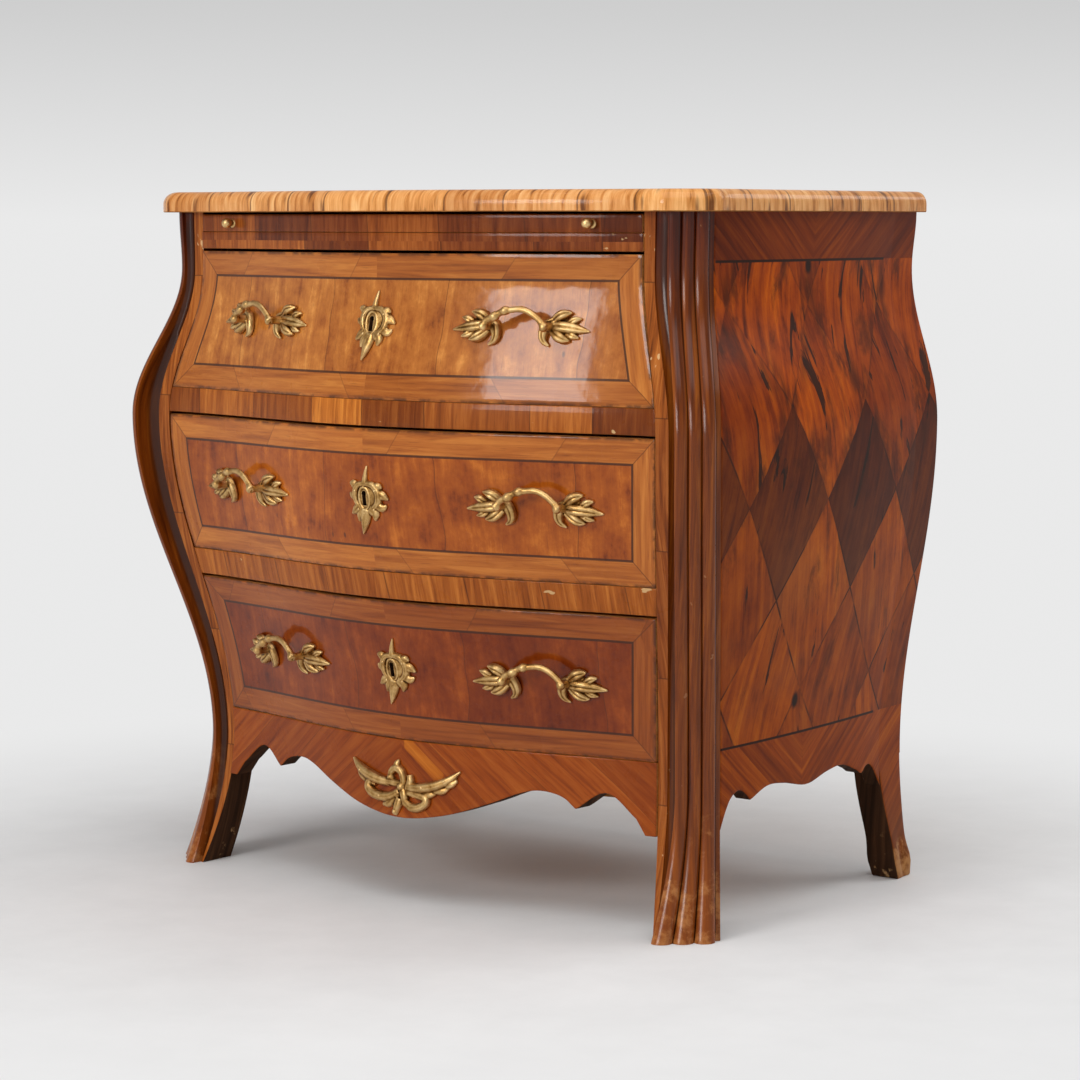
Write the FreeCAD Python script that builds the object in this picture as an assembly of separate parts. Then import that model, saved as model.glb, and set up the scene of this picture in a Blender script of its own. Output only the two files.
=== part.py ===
import FreeCAD, Part
import math
import os

# Bombe chest with three drawers, a brushing slide and brass mounts, in millimetres.
# X runs to the right as one faces the chest, -Y is the front and Z is up.
# The origin is on the floor, under the middle of the chest.

V = FreeCAD.Vector

# Heights of the case above the floor
case_height = 757.0
neck_drop = 62.0
belly_drop = 232.0
waist_height = 150.0
toe_power = 1.7
level_count = 20

# Half width over the front posts, and over the rear posts
side_belly = 417.0
side_waist = 365.0
side_shares = (0.21, 0.25, 0.34)
rear_belly = 381.0
rear_waist = 336.0
rear_shares = (0.20, 0.32, 0.34)

# Distance in front of the origin: outer corner of the posts, and corner of the drawer fronts
corner_belly = 232.0
corner_waist = 158.0
corner_shares = (0.43, 0.45, 0.55)
front_belly = 214.0
front_waist = 152.0
front_shares = (0.60, 0.60, 0.58)

# Half width of the drawer opening
opening_belly = 350.0
opening_waist = 309.0
opening_shares = (0.18, 0.18, 0.49)

# Plan curve of the front
front_bow = 56.0
bow_half_width = 335.0
bow_round_share = 0.3
bow_points = 20
front_thickness = 25.0
envelope_margin = 13.0
case_back = 274.0

# Front posts: a flat strip, a groove, then three reeds on the canted corner
cant_size = 30.0
cant_toe_growth = 18.0
reed_count = 3
reed_height = 5.0
reed_toe_growth = 4.0
strip_share = 0.45
groove_share = 0.72
groove_depth = 6.0
post_margin = 9.0
side_groove_depth = 4.0

# Rear posts, rabbeted for the back boards
rear_post_width = 30.0
rear_post_depth = 52.0
rear_flare = 5.0
back_thickness = 14.0
rabbet_inset = 12.0
back_board_count = 3

# Side panels with their scalloped lower edge
panel_thickness = 20.0
side_bow = 6.0
side_edge_height = 140.0
side_scallop = 9.0
bracket_shares = ((0.0, -3.4), (0.03, -1.2), (0.06, 0.3), (0.10, 1.0), (0.135, 0.5), (0.165, -0.5))
valance_shares = ((0.165, -0.5), (0.265, 0.7), (0.37, 0.45), (0.5, -0.4), (0.63, 0.45), (0.735, 0.7),
                  (0.835, -0.5))

# Joinery
joint_gap = 0.2
tenon_length = 22.0
tenon_thickness = 10.0
tenon_setback = 8.0
tenon_shoulder = 5.0

# Tabletop
top_thickness = 23.0
top_overhang = 18.0
top_rear_overhang = 13.0
top_edge_radius = 14.0
top_round_steps = 6
top_ear_round = 9.0

# Brushing slide
slide_height = 22.0
slide_top_clearance = 2.5
slide_board_thickness = 15.0
slide_side_clearance = 4.0
slide_back = 200.0
slide_knob_place = 258.0
slide_knob_radius = 6.0
slide_knob_stem = 3.0
slide_knob_reach = 9.0

# Drawers from the top down, each with the rail above it, the handles' height as a share of the drawer
# and their distance from the middle
drawers = {
    "drawer_1": {"rail": "slide_rail", "rail_height": 19.0, "handle_share": 0.51, "spread": 183.0},
    "drawer_2": {"rail": "upper_drawer_rail", "rail_height": 28.0, "handle_share": 0.51, "spread": 207.0},
    "drawer_3": {"rail": "lower_drawer_rail", "rail_height": 30.0, "handle_share": 0.50, "spread": 182.0},
}
front_side_clearance = 1.2
front_top_clearance = 3.0
ride_clearance = 0.3
box_inset = 6.0
box_side_thickness = 11.0
box_back_thickness = 11.0
box_bottom_thickness = 8.0
box_headroom = 20.0
box_back = 190.0

# Rails, apron and bottom board
rail_back = -130.0
apron_top = 182.0
apron_low = 96.0
apron_tenon_height = 48.0
apron_center_shares = ((0.0, 1.0), (0.19, 0.91), (0.36, 0.71), (0.48, 0.535), (0.555, 0.48), (0.635, 0.53),
                       (0.69, 0.67))
apron_arch_shares = ((0.69, 0.67), (0.80, 0.44), (0.915, 0.72))
apron_foot_shares = ((0.915, 0.72), (0.955, 0.91))
bottom_thickness = 16.0
board_gap = 1.5

# Runners, guides, stops and glue blocks
runner_height = 20.0
runner_bearing = 20.0
runner_lap = 8.0
guide_gap = 1.0
guide_width = 9.0
guide_height = 14.0
stop_gap = 0.3
stop_length = 14.0
stop_height = 24.0
glue_block_size = 30.0
glue_block_places = (-235.0, -110.0, 110.0, 235.0)

# Locks and keyholes
lock_width = 64.0
lock_depth = 14.0
lock_drop = 15.0
bolt_width = 30.0
bolt_thickness = 6.0
bolt_length = 26.0
bolt_travel = 9.0
bolt_clearance = 0.5
mortise_clearance = 1.0
keyhole_width = 4.0
keyhole_height = 15.0
keyhole_depth = 3.0

# Brass escutcheons, handles and the mount on the apron
escutcheon_width = 60.0
escutcheon_height = 80.0
escutcheon_thickness = 5.0
escutcheon_shares = ((0.05, 0.52), (0.13, 0.40), (0.10, 0.28), (0.27, 0.24), (0.30, 0.07), (0.42, 0.06),
                     (0.52, 0.02), (0.38, -0.10), (0.22, -0.12), (0.24, -0.26), (0.09, -0.31), (0.07, -0.42),
                     (-0.02, -0.52), (-0.07, -0.40), (-0.13, -0.30), (-0.25, -0.27), (-0.35, -0.20),
                     (-0.26, -0.10), (-0.24, 0.0), (-0.32, 0.14), (-0.16, 0.27), (-0.05, 0.36))
handle_length = 144.0
handle_bail_span = 70.0
handle_bail_rise = 26.0
handle_reach = 20.0
handle_bail_reach = 7.0
handle_rod_radius = 3.6
handle_post_radius = 5.0
handle_knuckle_radius = 5.5
leaf_thickness = 5.0
leaf_height = 30.0
leaf_shares = ((-0.30, 0.10), (-0.12, 0.48), (0.30, 0.38), (0.45, 0.16), (1.0, 0.06), (0.55, -0.18),
               (0.22, -0.34), (-0.10, -0.62), (-0.24, -0.30))
mount_width = 165.0
mount_height = 58.0
mount_middle = 128.0
mount_thickness = 6.0
mount_shares = ((-0.46, 0.46), (-0.26, 0.10), (-0.10, 0.12), (0.0, 0.44), (0.10, 0.12), (0.26, 0.10),
                (0.46, 0.46), (0.40, 0.02), (0.20, -0.24), (0.05, -0.30), (0.0, -0.50), (-0.05, -0.30),
                (-0.20, -0.24), (-0.40, 0.02))
overrun = 40.0

# Heights and widths that follow from these sizes
neck_height = case_height - neck_drop
belly_height = case_height - belly_drop
envelope_half_width = side_belly + envelope_margin
slide_bottom = case_height - slide_height
drawer_height = (slide_bottom - apron_top - sum(d["rail_height"] for d in drawers.values())) / len(drawers)
ceiling = slide_bottom
for d in drawers.values():
    d["rail_span"] = (ceiling - d["rail_height"], ceiling)
    d["top"] = ceiling - d["rail_height"]
    d["bottom"] = d["top"] - drawer_height
    d["handle_height"] = d["bottom"] + drawer_height * d["handle_share"]
    ceiling = d["bottom"]


def ease(share):
    return (1 - math.cos(math.pi * share)) / 2


def toe_flare(z):
    return max(0, (waist_height - z) / waist_height) ** toe_power


def swell(z, shares):
    neck_share, top_share, toe_share = shares
    if z > neck_height:
        return neck_share + (top_share - neck_share) * ease((z - neck_height) / (case_height - neck_height))
    if z > belly_height:
        return 1 + (neck_share - 1) * ease((z - belly_height) / (neck_height - belly_height))
    if z > waist_height:
        return ease((z - waist_height) / (belly_height - waist_height))
    return toe_share * toe_flare(z)


def side_x(z):
    return side_waist + (side_belly - side_waist) * swell(z, side_shares)


def rear_x(z):
    return rear_waist + (rear_belly - rear_waist) * swell(z, rear_shares)


def corner_y(z):
    return -corner_waist - (corner_belly - corner_waist) * swell(z, corner_shares)


def front_y(z):
    return -front_waist - (front_belly - front_waist) * swell(z, front_shares)


def opening_x(z):
    return opening_waist + (opening_belly - opening_waist) * swell(z, opening_shares)


def bow(x):
    share = min(abs(x) / bow_half_width, 1)
    return front_bow * (bow_round_share * (1 - share ** 2) + (1 - bow_round_share) * ease(1 - share))


def surface_y(x, z):
    return front_y(z) - bow(x)


def cant(z):
    return cant_size + cant_toe_growth * toe_flare(z)


def post_back(z):
    return corner_y(z) + cant(z) + post_margin


levels = [case_height * k / level_count for k in range(level_count + 1)]
back_front = case_back - back_thickness
rear_post_front = case_back - rear_post_depth


def box(x0, x1, y0, y1, z0, z1):
    return Part.makeBox(x1 - x0, y1 - y0, z1 - z0, V(x0, y0, z0))


def mirrored(shape):
    return shape.mirror(V(0, 0, 0), V(1, 0, 0))


def spline(points):
    curve = Part.BSplineCurve()
    curve.interpolate(points)
    return curve.toShape()


def closed_spline(points):
    curve = Part.BSplineCurve()
    curve.interpolate(points, PeriodicFlag=True)
    return Part.Wire([curve.toShape()])


# A closed outline of arcs: every other point is the middle of an arc
def arc_outline(points):
    ring = points + [points[0]]
    arcs = [Part.Arc(*ring[k:k + 3]).toShape() for k in range(0, len(points), 2)]
    return Part.Wire(arcs)


def polygon(points):
    return [Part.makeLine(points[k], points[k + 1]) for k in range(len(points) - 1)]


# A face with curved sides and straight ends
def between_edges(right, left):
    top = Part.makeLine(right[-1], left[-1])
    bottom = Part.makeLine(left[0], right[0])
    return Part.Face(Part.Wire(Part.__sortEdges__([spline(right), top, spline(left), bottom])))


# Everything behind the curved front, moved back by a setback
def behind_front(setback):
    wires = []
    for z in levels:
        places = [envelope_half_width * (2 * k / bow_points - 1) for k in range(bow_points + 1)]
        front = [V(x, surface_y(x, z) + setback, z) for x in places]
        right = V(envelope_half_width, case_back, z)
        left = V(-envelope_half_width, case_back, z)
        wires.append(Part.Wire([spline(front)] + polygon([front[-1], right, left, front[0]])))
    return Part.makeLoft(wires, True)


# A block whose sides follow the drawer opening between two heights
def opening_block(z0, z1, inset, y1):
    y0 = -envelope_half_width
    heights = [z0 + (z1 - z0) * k / level_count for k in range(level_count + 1)]
    right = [V(opening_x(z) - inset, y0, z) for z in heights]
    left = [V(-p.x, y0, p.z) for p in right]
    return between_edges(right, left).extrude(V(0, y1 - y0, 0))


def front_post():
    wires = []
    for z in levels:
        x0 = opening_x(z)
        y0 = front_y(z)
        reed_start = V(side_x(z) - cant(z), corner_y(z), z)
        reed_end = V(side_x(z), corner_y(z) + cant(z), z)
        strip_end = V(x0 + (reed_start.x - x0) * strip_share, y0, z)
        groove = V(x0 + (reed_start.x - x0) * groove_share, y0 + groove_depth, z)
        edges = polygon([V(x0, y0, z), strip_end, groove, reed_start])
        bulge = V(1, -1, 0).normalize() * (reed_height + reed_toe_growth * toe_flare(z))
        for k in range(reed_count):
            a = reed_start + (reed_end - reed_start) * (k / reed_count)
            b = reed_start + (reed_end - reed_start) * ((k + 1) / reed_count)
            edges.append(Part.Arc(a, (a + b) * 0.5 + bulge, b).toShape())
        side_groove = V(reed_end.x - side_groove_depth, (reed_end.y + post_back(z)) / 2, z)
        outer = V(side_x(z), post_back(z), z)
        inner = V(x0, post_back(z), z)
        edges += polygon([reed_end, side_groove, outer, inner, V(x0, y0, z)])
        wires.append(Part.Wire(edges))
    return Part.makeLoft(wires, True)


def rear_post():
    wires = []
    for z in levels:
        inner_x = rear_x(z) - rear_post_width
        a = V(rear_x(z) + rear_flare, rear_post_front, z)
        b = V(rear_x(z), case_back, z)
        c = V(inner_x, case_back, z)
        d = V(inner_x, rear_post_front, z)
        wires.append(Part.Wire(polygon([a, b, c, d, a])))
    return Part.makeLoft(wires, True).cut(back_boards)


def side_panel_blank():
    wires = []
    inward = V(-panel_thickness, 0, 0)
    for z in levels:
        a = V(side_x(z), post_back(z) + joint_gap, z)
        b = V(rear_x(z) + rear_flare, rear_post_front, z)
        m = (a + b) * 0.5 + V(side_bow, 0, 0)
        edges = [Part.Arc(a, m, b).toShape(), Part.makeLine(b, b + inward)]
        edges += [Part.Arc(b + inward, m + inward, a + inward).toShape(), Part.makeLine(a + inward, a)]
        wires.append(Part.Wire(edges))
    return Part.makeLoft(wires, True)


# What is cut away under the scalloped edge of a side panel
def below_side_edge():
    start = post_back(side_edge_height)
    length = rear_post_front - start

    def place(shares):
        along, up = shares
        return V(0, start + length * along, side_edge_height + side_scallop * up)

    front = [place(s) for s in bracket_shares]
    middle = [place(s) for s in valance_shares]
    rear = [place((1 - along, up)) for along, up in reversed(bracket_shares)]
    low_front = V(0, start - overrun, 0)
    low_rear = V(0, rear_post_front + overrun, 0)
    edges = [spline(front), spline(middle), spline(rear)]
    edges += polygon([rear[-1], V(0, low_rear.y, rear[-1].z), low_rear, low_front,
                      V(0, low_front.y, front[0].z), front[0]])
    return Part.Face(Part.Wire(edges)).extrude(V(envelope_half_width, 0, 0))


def side_panel():
    return side_panel_blank().cut(below_side_edge())


def tenon(z0, z1):
    x = opening_x((z0 + z1) / 2)
    y = max(front_y(z0), front_y(z1)) + tenon_setback
    low = z0 + tenon_shoulder
    high = z1 - tenon_shoulder
    return box(x - tenon_length / 2, x + tenon_length, y, y + tenon_thickness, low, high)


def rail(z0, z1):
    block = opening_block(z0, z1, joint_gap, rail_back).common(envelope)
    return block.fuse([tenon(z0, z1), mirrored(tenon(z0, z1))]).removeSplitter()


# What is cut away under the scalloped edge of the apron
def below_apron_edge():
    height = apron_top - apron_low
    half = opening_x(apron_low)
    y0 = -envelope_half_width

    def place(shares, side):
        along, down = shares
        return V(side * half * along, y0, apron_top - height * down)

    edges = []
    for side in (1, -1):
        arch = [place(s, side) for s in apron_arch_shares]
        edges.append(Part.Arc(*arch).toShape())
        foot = [place(s, side) for s in apron_foot_shares]
        low = V(foot[-1].x, y0, foot[-1].z)
        end = V(side * envelope_half_width, y0, low.z)
        corner = V(end.x, y0, 0)
        edges += polygon(foot + [end, corner, V(0, y0, 0)])
    right = [place(s, 1) for s in apron_center_shares]
    left = [place(s, -1) for s in apron_center_shares[1:]]
    edges.append(spline(list(reversed(left)) + right))
    face = Part.Face(Part.Wire(Part.__sortEdges__(edges)))
    return face.extrude(V(0, 2 * envelope_half_width, 0))


def front_apron():
    blank = opening_block(0, apron_top, joint_gap, 0).common(envelope).cut(inner_envelope)
    apron = blank.cut(below_apron_edge())
    return apron.fuse([tenon(*apron_span), mirrored(tenon(*apron_span))]).removeSplitter()


def bottom_board():
    z0 = apron_top - bottom_thickness
    post_y = post_back(z0) + board_gap
    x_post = opening_x(z0) - board_gap
    x_front = side_x(z0) - panel_thickness - board_gap
    x_rear = rear_x(z0) - panel_thickness - board_gap
    x_notch = rear_x(z0) - rear_post_width - board_gap
    y_rear = rear_post_front - joint_gap
    right = [V(x_post, -envelope_half_width, z0), V(x_post, post_y, z0), V(x_front, post_y, z0),
             V(x_rear, y_rear, z0), V(x_notch, y_rear, z0), V(x_notch, back_front, z0)]
    left = [V(-p.x, p.y, p.z) for p in reversed(right)]
    face = Part.Face(Part.Wire(polygon(right + left + [right[0]])))
    return face.extrude(V(0, 0, bottom_thickness)).common(inner_envelope)


def back_board(index):
    low = side_edge_height
    step = (case_height - low) / back_board_count
    z0 = low + step * index
    heights = [z0 + step * k / level_count for k in range(level_count + 1)]
    right = [V(rear_x(z) - rabbet_inset, back_front, z) for z in heights]
    left = [V(-p.x, p.y, p.z) for p in right]
    return between_edges(right, left).extrude(V(0, back_thickness, 0))


def top_outline(inset, z):
    over = top_overhang - inset
    half = opening_x(case_height)
    places = [half * (2 * k / bow_points - 1) for k in range(bow_points + 1)]
    front = [V(x, surface_y(x, case_height) - over, z) for x in places]
    ear_start = V(side_x(case_height) - cant_size, corner_y(case_height) - over, z)
    ear_end = V(side_x(case_height) + over, corner_y(case_height) + cant_size, z)
    ear_middle = (ear_start + ear_end) * 0.5 + V(1, -1, 0).normalize() * top_ear_round
    back = V(rear_x(case_height) + top_rear_overhang - inset, case_back, z)
    right = [Part.makeLine(front[-1], ear_start), Part.Arc(ear_start, ear_middle, ear_end).toShape(),
             Part.makeLine(ear_end, back)]
    left = [mirrored(edge) for edge in right]
    across = Part.makeLine(back, V(-back.x, back.y, z))
    return Part.Wire(Part.__sortEdges__([spline(front)] + right + left + [across]))


def tabletop():
    round_start = case_height + top_thickness - top_edge_radius
    slab = Part.Face(top_outline(0, case_height)).extrude(V(0, 0, round_start - case_height))
    wires = []
    for k in range(top_round_steps + 1):
        angle = math.pi / 2 * k / top_round_steps
        inset = top_edge_radius * (1 - math.cos(angle))
        wires.append(top_outline(inset, round_start + top_edge_radius * math.sin(angle)))
    return slab.fuse(Part.makeLoft(wires, True, True)).removeSplitter()


def slide_front():
    top = case_height - slide_top_clearance
    block = opening_block(slide_bottom + ride_clearance, top, front_side_clearance, 0)
    return block.common(envelope).cut(inner_envelope)


def slide_board():
    half = opening_x(slide_bottom) - slide_side_clearance
    low = slide_bottom + ride_clearance
    blank = box(-half, half, -envelope_half_width, slide_back, low, low + slide_board_thickness)
    return blank.common(inner_envelope)


def slide_knob(side):
    x = side * slide_knob_place
    z = (slide_bottom + case_height - slide_top_clearance) / 2
    y = surface_y(x, z)
    root = V(x, y + slide_knob_radius, z)
    stem = Part.makeCylinder(slide_knob_stem, slide_knob_reach + slide_knob_radius, root, V(0, -1, 0))
    ball = Part.makeSphere(slide_knob_radius, V(x, y - slide_knob_reach, z))
    return ball.fuse(stem).cut(slide_front_solid)


def runner(z_top, half, height):
    z0 = z_top - height
    outer = rear_x(z0) - rear_post_width + runner_lap
    return box(half - runner_bearing, outer, rail_back, rear_post_front, z0, z_top)


def box_half(d):
    return min(opening_x(d["bottom"]), opening_x(d["top"])) - box_inset


def guide(d):
    x0 = box_half(d) + guide_gap
    z0 = d["bottom"]
    y0 = max(rail_back, post_back(z0)) + guide_gap
    return box(x0, x0 + guide_width, y0, rear_post_front - joint_gap, z0, z0 + guide_height)


def stop(d):
    half = box_half(d)
    y0 = box_back + stop_gap
    return box(half - runner_bearing, half, y0, y0 + stop_length, d["bottom"], d["bottom"] + stop_height)


def glue_blocks():
    z1 = apron_top - bottom_thickness
    blocks = []
    for x in glue_block_places:
        y = surface_y(x, z1) + front_thickness
        half = glue_block_size / 2
        blank = box(x - half, x + half, y - overrun, y + glue_block_size, z1 - glue_block_size, z1)
        blocks.append(blank.common(inner_envelope))
    return Part.makeCompound(blocks)


def lock_span(d):
    z0 = d["handle_height"] - lock_drop
    z1 = d["top"] - front_top_clearance
    seat = min(surface_y(0, z0), surface_y(0, z1)) + front_thickness
    return z0, z1, seat


def keyhole(d):
    z0, z1, seat = lock_span(d)
    half = keyhole_width / 2
    low = d["handle_height"] - keyhole_height / 2
    return box(-half, half, -envelope_half_width, seat + keyhole_depth, low, low + keyhole_height)


def bolt_box(d, clearance, rise):
    z0, z1, seat = lock_span(d)
    half = bolt_width / 2 + clearance
    middle = seat + lock_depth / 2
    thick = bolt_thickness / 2 + clearance
    return box(-half, half, middle - thick, middle + thick, z1 - bolt_length - clearance, z1 + rise)


def lock_case(d):
    z0, z1, seat = lock_span(d)
    half = lock_width / 2
    case = box(-half, half, seat, seat + lock_depth, z0, z1)
    return case.cut([bolt_box(d, bolt_clearance, overrun), keyhole(d)])


def drawer_front(d):
    z0, z1, seat = lock_span(d)
    block = opening_block(d["bottom"] + ride_clearance, z1, front_side_clearance, 0)
    half = lock_width / 2
    recess = box(-half, half, seat, seat + overrun, z0, z1 + overrun)
    return block.common(envelope).cut(inner_envelope).cut([recess, keyhole(d)])


def drawer_side(d):
    half = box_half(d)
    z0 = d["bottom"] + ride_clearance + box_bottom_thickness
    z1 = d["top"] - box_headroom
    return box(half - box_side_thickness, half, -envelope_half_width, box_back, z0, z1).common(inner_envelope)


def drawer_back(d):
    half = box_half(d) - box_side_thickness
    z0 = d["bottom"] + ride_clearance + box_bottom_thickness
    return box(-half, half, box_back - box_back_thickness, box_back, z0, d["top"] - box_headroom)


def drawer_bottom(d):
    half = box_half(d)
    z0 = d["bottom"] + ride_clearance
    blank = box(-half, half, -envelope_half_width, box_back, z0, z0 + box_bottom_thickness)
    return blank.common(inner_envelope)


# A plate of even thickness that lies on the curved front
def plate(wire, shell):
    block = Part.Face(wire).extrude(V(0, envelope_half_width, 0))
    return block.common(shell).cut(seat_envelope)


def escutcheon(d):
    points = [V(escutcheon_width * across, -envelope_half_width, d["handle_height"] + escutcheon_height * up)
              for across, up in escutcheon_shares]
    return plate(arc_outline(points), escutcheon_shell).cut(keyhole(d))


def apron_mount():
    points = [V(mount_width * across, -envelope_half_width, mount_middle + mount_height * up)
              for across, up in mount_shares]
    return plate(closed_spline(points), mount_shell)


def handle_leaf(x, z, outward):
    length = (handle_length - handle_bail_span) / 2
    points = [V(x + outward * length * along, -envelope_half_width, z + leaf_height * up)
              for along, up in leaf_shares]
    return plate(closed_spline(points), leaf_shell)


def handle(d, side):
    z = d["handle_height"]
    middle = side * d["spread"]
    ends = [middle - handle_bail_span / 2, middle + handle_bail_span / 2]
    feet = [V(x, surface_y(x, z), z) for x in ends]
    chord = feet[1] - feet[0]
    normal = V(chord.y, -chord.x, 0).normalize()
    solids = [handle_leaf(ends[0], z, -1), handle_leaf(ends[1], z, 1)]
    tips = []
    for foot in feet:
        tip = foot + normal * handle_reach
        tips.append(tip)
        root = foot - normal * handle_post_radius
        solids.append(Part.makeCylinder(handle_post_radius, (tip - root).Length, root, normal))
        solids.append(Part.makeSphere(handle_knuckle_radius, tip))
    crown = (tips[0] + tips[1]) * 0.5 + normal * handle_bail_reach + V(0, 0, handle_bail_rise)
    path = Part.Arc(tips[0], crown, tips[1])
    start = path.tangent(path.FirstParameter)[0]
    profile = Part.Wire([Part.makeCircle(handle_rod_radius, tips[0], start)])
    solids.append(Part.Wire([path.toShape()]).makePipeShell([profile], True, False))
    return solids[0].fuse(solids[1:]).cut(seat_envelope)


def save(name, shape):
    shape.exportStep("parts/" + name + ".step")


os.makedirs("parts", exist_ok=True)
envelope = behind_front(0)
inner_envelope = behind_front(front_thickness)
seat_envelope = behind_front(-joint_gap)
escutcheon_shell = behind_front(-escutcheon_thickness)
mount_shell = behind_front(-mount_thickness)
leaf_shell = behind_front(-leaf_thickness)

back_boards = [back_board(index) for index in range(back_board_count)]
apron_span = (apron_top - apron_tenon_height, apron_top)
mortised_spans = [d["rail_span"] for d in drawers.values()] + [apron_span]

post = front_post().cut([tenon(*span) for span in mortised_spans])
save("front_right_post", post)
save("front_left_post", mirrored(post))
panel = side_panel()
save("right_side_panel", panel)
save("left_side_panel", mirrored(panel))
save("rear_right_post", rear_post())
save("rear_left_post", mirrored(rear_post()))
for name, board in zip(("lower_back_board", "middle_back_board", "upper_back_board"), back_boards):
    save(name, board)
save("tabletop", tabletop())
save("front_apron", front_apron())
save("bottom_board", bottom_board())
save("glue_blocks", glue_blocks())
save("apron_mount", apron_mount())

for d in drawers.values():
    mortise = bolt_box(d, mortise_clearance, bolt_travel + front_top_clearance)
    save(d["rail"], rail(*d["rail_span"]).cut(mortise))

slide_front_solid = slide_front()
save("slide_front", slide_front_solid)
save("slide_board", slide_board())
save("slide_right_knob", slide_knob(1))
save("slide_left_knob", slide_knob(-1))
bearer = runner(slide_bottom, opening_x(slide_bottom), drawers["drawer_1"]["rail_height"])
save("slide_right_bearer", bearer)
save("slide_left_bearer", mirrored(bearer))

for name, d in drawers.items():
    save(name + "_front", drawer_front(d))
    save(name + "_right_side", drawer_side(d))
    save(name + "_left_side", mirrored(drawer_side(d)))
    save(name + "_back", drawer_back(d))
    save(name + "_bottom", drawer_bottom(d))
    save(name + "_lock_case", lock_case(d))
    save(name + "_lock_bolt", bolt_box(d, 0, 0))
    save(name + "_escutcheon", escutcheon(d))
    save(name + "_right_handle", handle(d, 1))
    save(name + "_left_handle", handle(d, -1))

for name in ("drawer_1", "drawer_2"):
    d = drawers[name]
    piece = runner(d["bottom"], box_half(d), runner_height)
    save(name + "_right_runner", piece)
    save(name + "_left_runner", mirrored(piece))

guides = [guide(d) for d in drawers.values()]
save("drawer_guides", Part.makeCompound(guides + [mirrored(g) for g in guides]))
stops = [stop(d) for d in drawers.values()]
save("drawer_stops", Part.makeCompound(stops + [mirrored(s) for s in stops]))
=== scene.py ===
import bpy, bmesh, math
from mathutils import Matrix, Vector
from mathutils.bvhtree import BVHTree


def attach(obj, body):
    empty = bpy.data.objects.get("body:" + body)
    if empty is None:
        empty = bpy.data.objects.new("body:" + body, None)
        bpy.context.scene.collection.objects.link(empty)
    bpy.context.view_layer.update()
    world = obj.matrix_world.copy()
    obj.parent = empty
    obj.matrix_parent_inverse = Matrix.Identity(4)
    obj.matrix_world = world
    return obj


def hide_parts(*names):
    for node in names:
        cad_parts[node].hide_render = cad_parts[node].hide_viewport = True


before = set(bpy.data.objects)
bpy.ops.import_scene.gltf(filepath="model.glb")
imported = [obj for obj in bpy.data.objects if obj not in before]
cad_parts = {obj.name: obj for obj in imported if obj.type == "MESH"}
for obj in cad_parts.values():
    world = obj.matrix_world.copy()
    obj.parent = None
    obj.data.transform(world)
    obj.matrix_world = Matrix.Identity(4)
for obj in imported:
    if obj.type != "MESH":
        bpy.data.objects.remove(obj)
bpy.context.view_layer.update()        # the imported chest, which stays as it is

mm = 0.001
scene = bpy.context.scene

# the swelling case, in millimetres: each edge has a belly, a waist, and shares at neck, top and toe
chest = {
    "height": 757, "neck": 695, "belly": 525, "waist": 150, "toePower": 1.7,
    "bow": 56, "bowHalf": 335, "bowRound": 0.3, "thick": 25, "back": 274,
    "side": (417, 365, (0.21, 0.25, 0.34)), "rear": (381, 336, (0.20, 0.32, 0.34)),
    "corner": (-232, -158, (0.43, 0.45, 0.55)), "front": (-214, -152, (0.60, 0.60, 0.58)),
    "opening": (350, 309, (0.18, 0.18, 0.49)),
}


def ease(u):
    return (1 - math.cos(math.pi * u)) / 2


def toeFlare(z):
    return max(0, (chest["waist"] - z) / chest["waist"]) ** chest["toePower"]


def swell(z, shares):
    neckShare, topShare, toeShare = shares
    if z > chest["neck"]:
        aboveNeck = (z - chest["neck"]) / (chest["height"] - chest["neck"])
        return neckShare + (topShare - neckShare) * ease(aboveNeck)
    if z > chest["belly"]:
        return 1 + (neckShare - 1) * ease((z - chest["belly"]) / (chest["neck"] - chest["belly"]))
    if z > chest["waist"]:
        return ease((z - chest["waist"]) / (chest["belly"] - chest["waist"]))
    return toeShare * toeFlare(z)


def edgeAt(name, z):
    belly, waist, shares = chest[name]
    return waist + (belly - waist) * swell(z, shares)


def bowAt(x):
    t = min(abs(x) / chest["bowHalf"], 1)
    return chest["bow"] * (chest["bowRound"] * (1 - t * t) + (1 - chest["bowRound"]) * ease(1 - t))


def frontAt(x, z):
    return edgeAt("front", z) - bowAt(x)


def frontNormal(x, z):
    dx = frontAt(x + 1, z) - frontAt(x - 1, z)
    dz = frontAt(x, z + 1) - frontAt(x, z - 1)
    return Vector((dx / 2, -1, dz / 2)).normalized()


def onFront(x, z, out):
    return Vector((x, frontAt(x, z), z)) + frontNormal(x, z) * out


def spread(points, count):             # smooth line through a few points, of any dimension
    pts = [Vector(p) for p in points]
    pts = [pts[0] * 2 - pts[1]] + pts + [pts[-1] * 2 - pts[-2]]
    spans = len(pts) - 3
    line = []
    for k in range(count):
        u = spans * k / (count - 1)
        i = min(int(u), spans - 1)
        t = u - i
        a, b, c, d = pts[i:i + 4]
        line.append(0.5 * (2 * b + (c - a) * t + (2 * a - 5 * b + 4 * c - d) * t ** 2
                           + (3 * b - a - 3 * c + d) * t ** 3))
    return line


def spreadNumbers(numbers, count):
    return [p.x for p in spread([(n, 0, 0) for n in numbers], count)]


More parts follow.
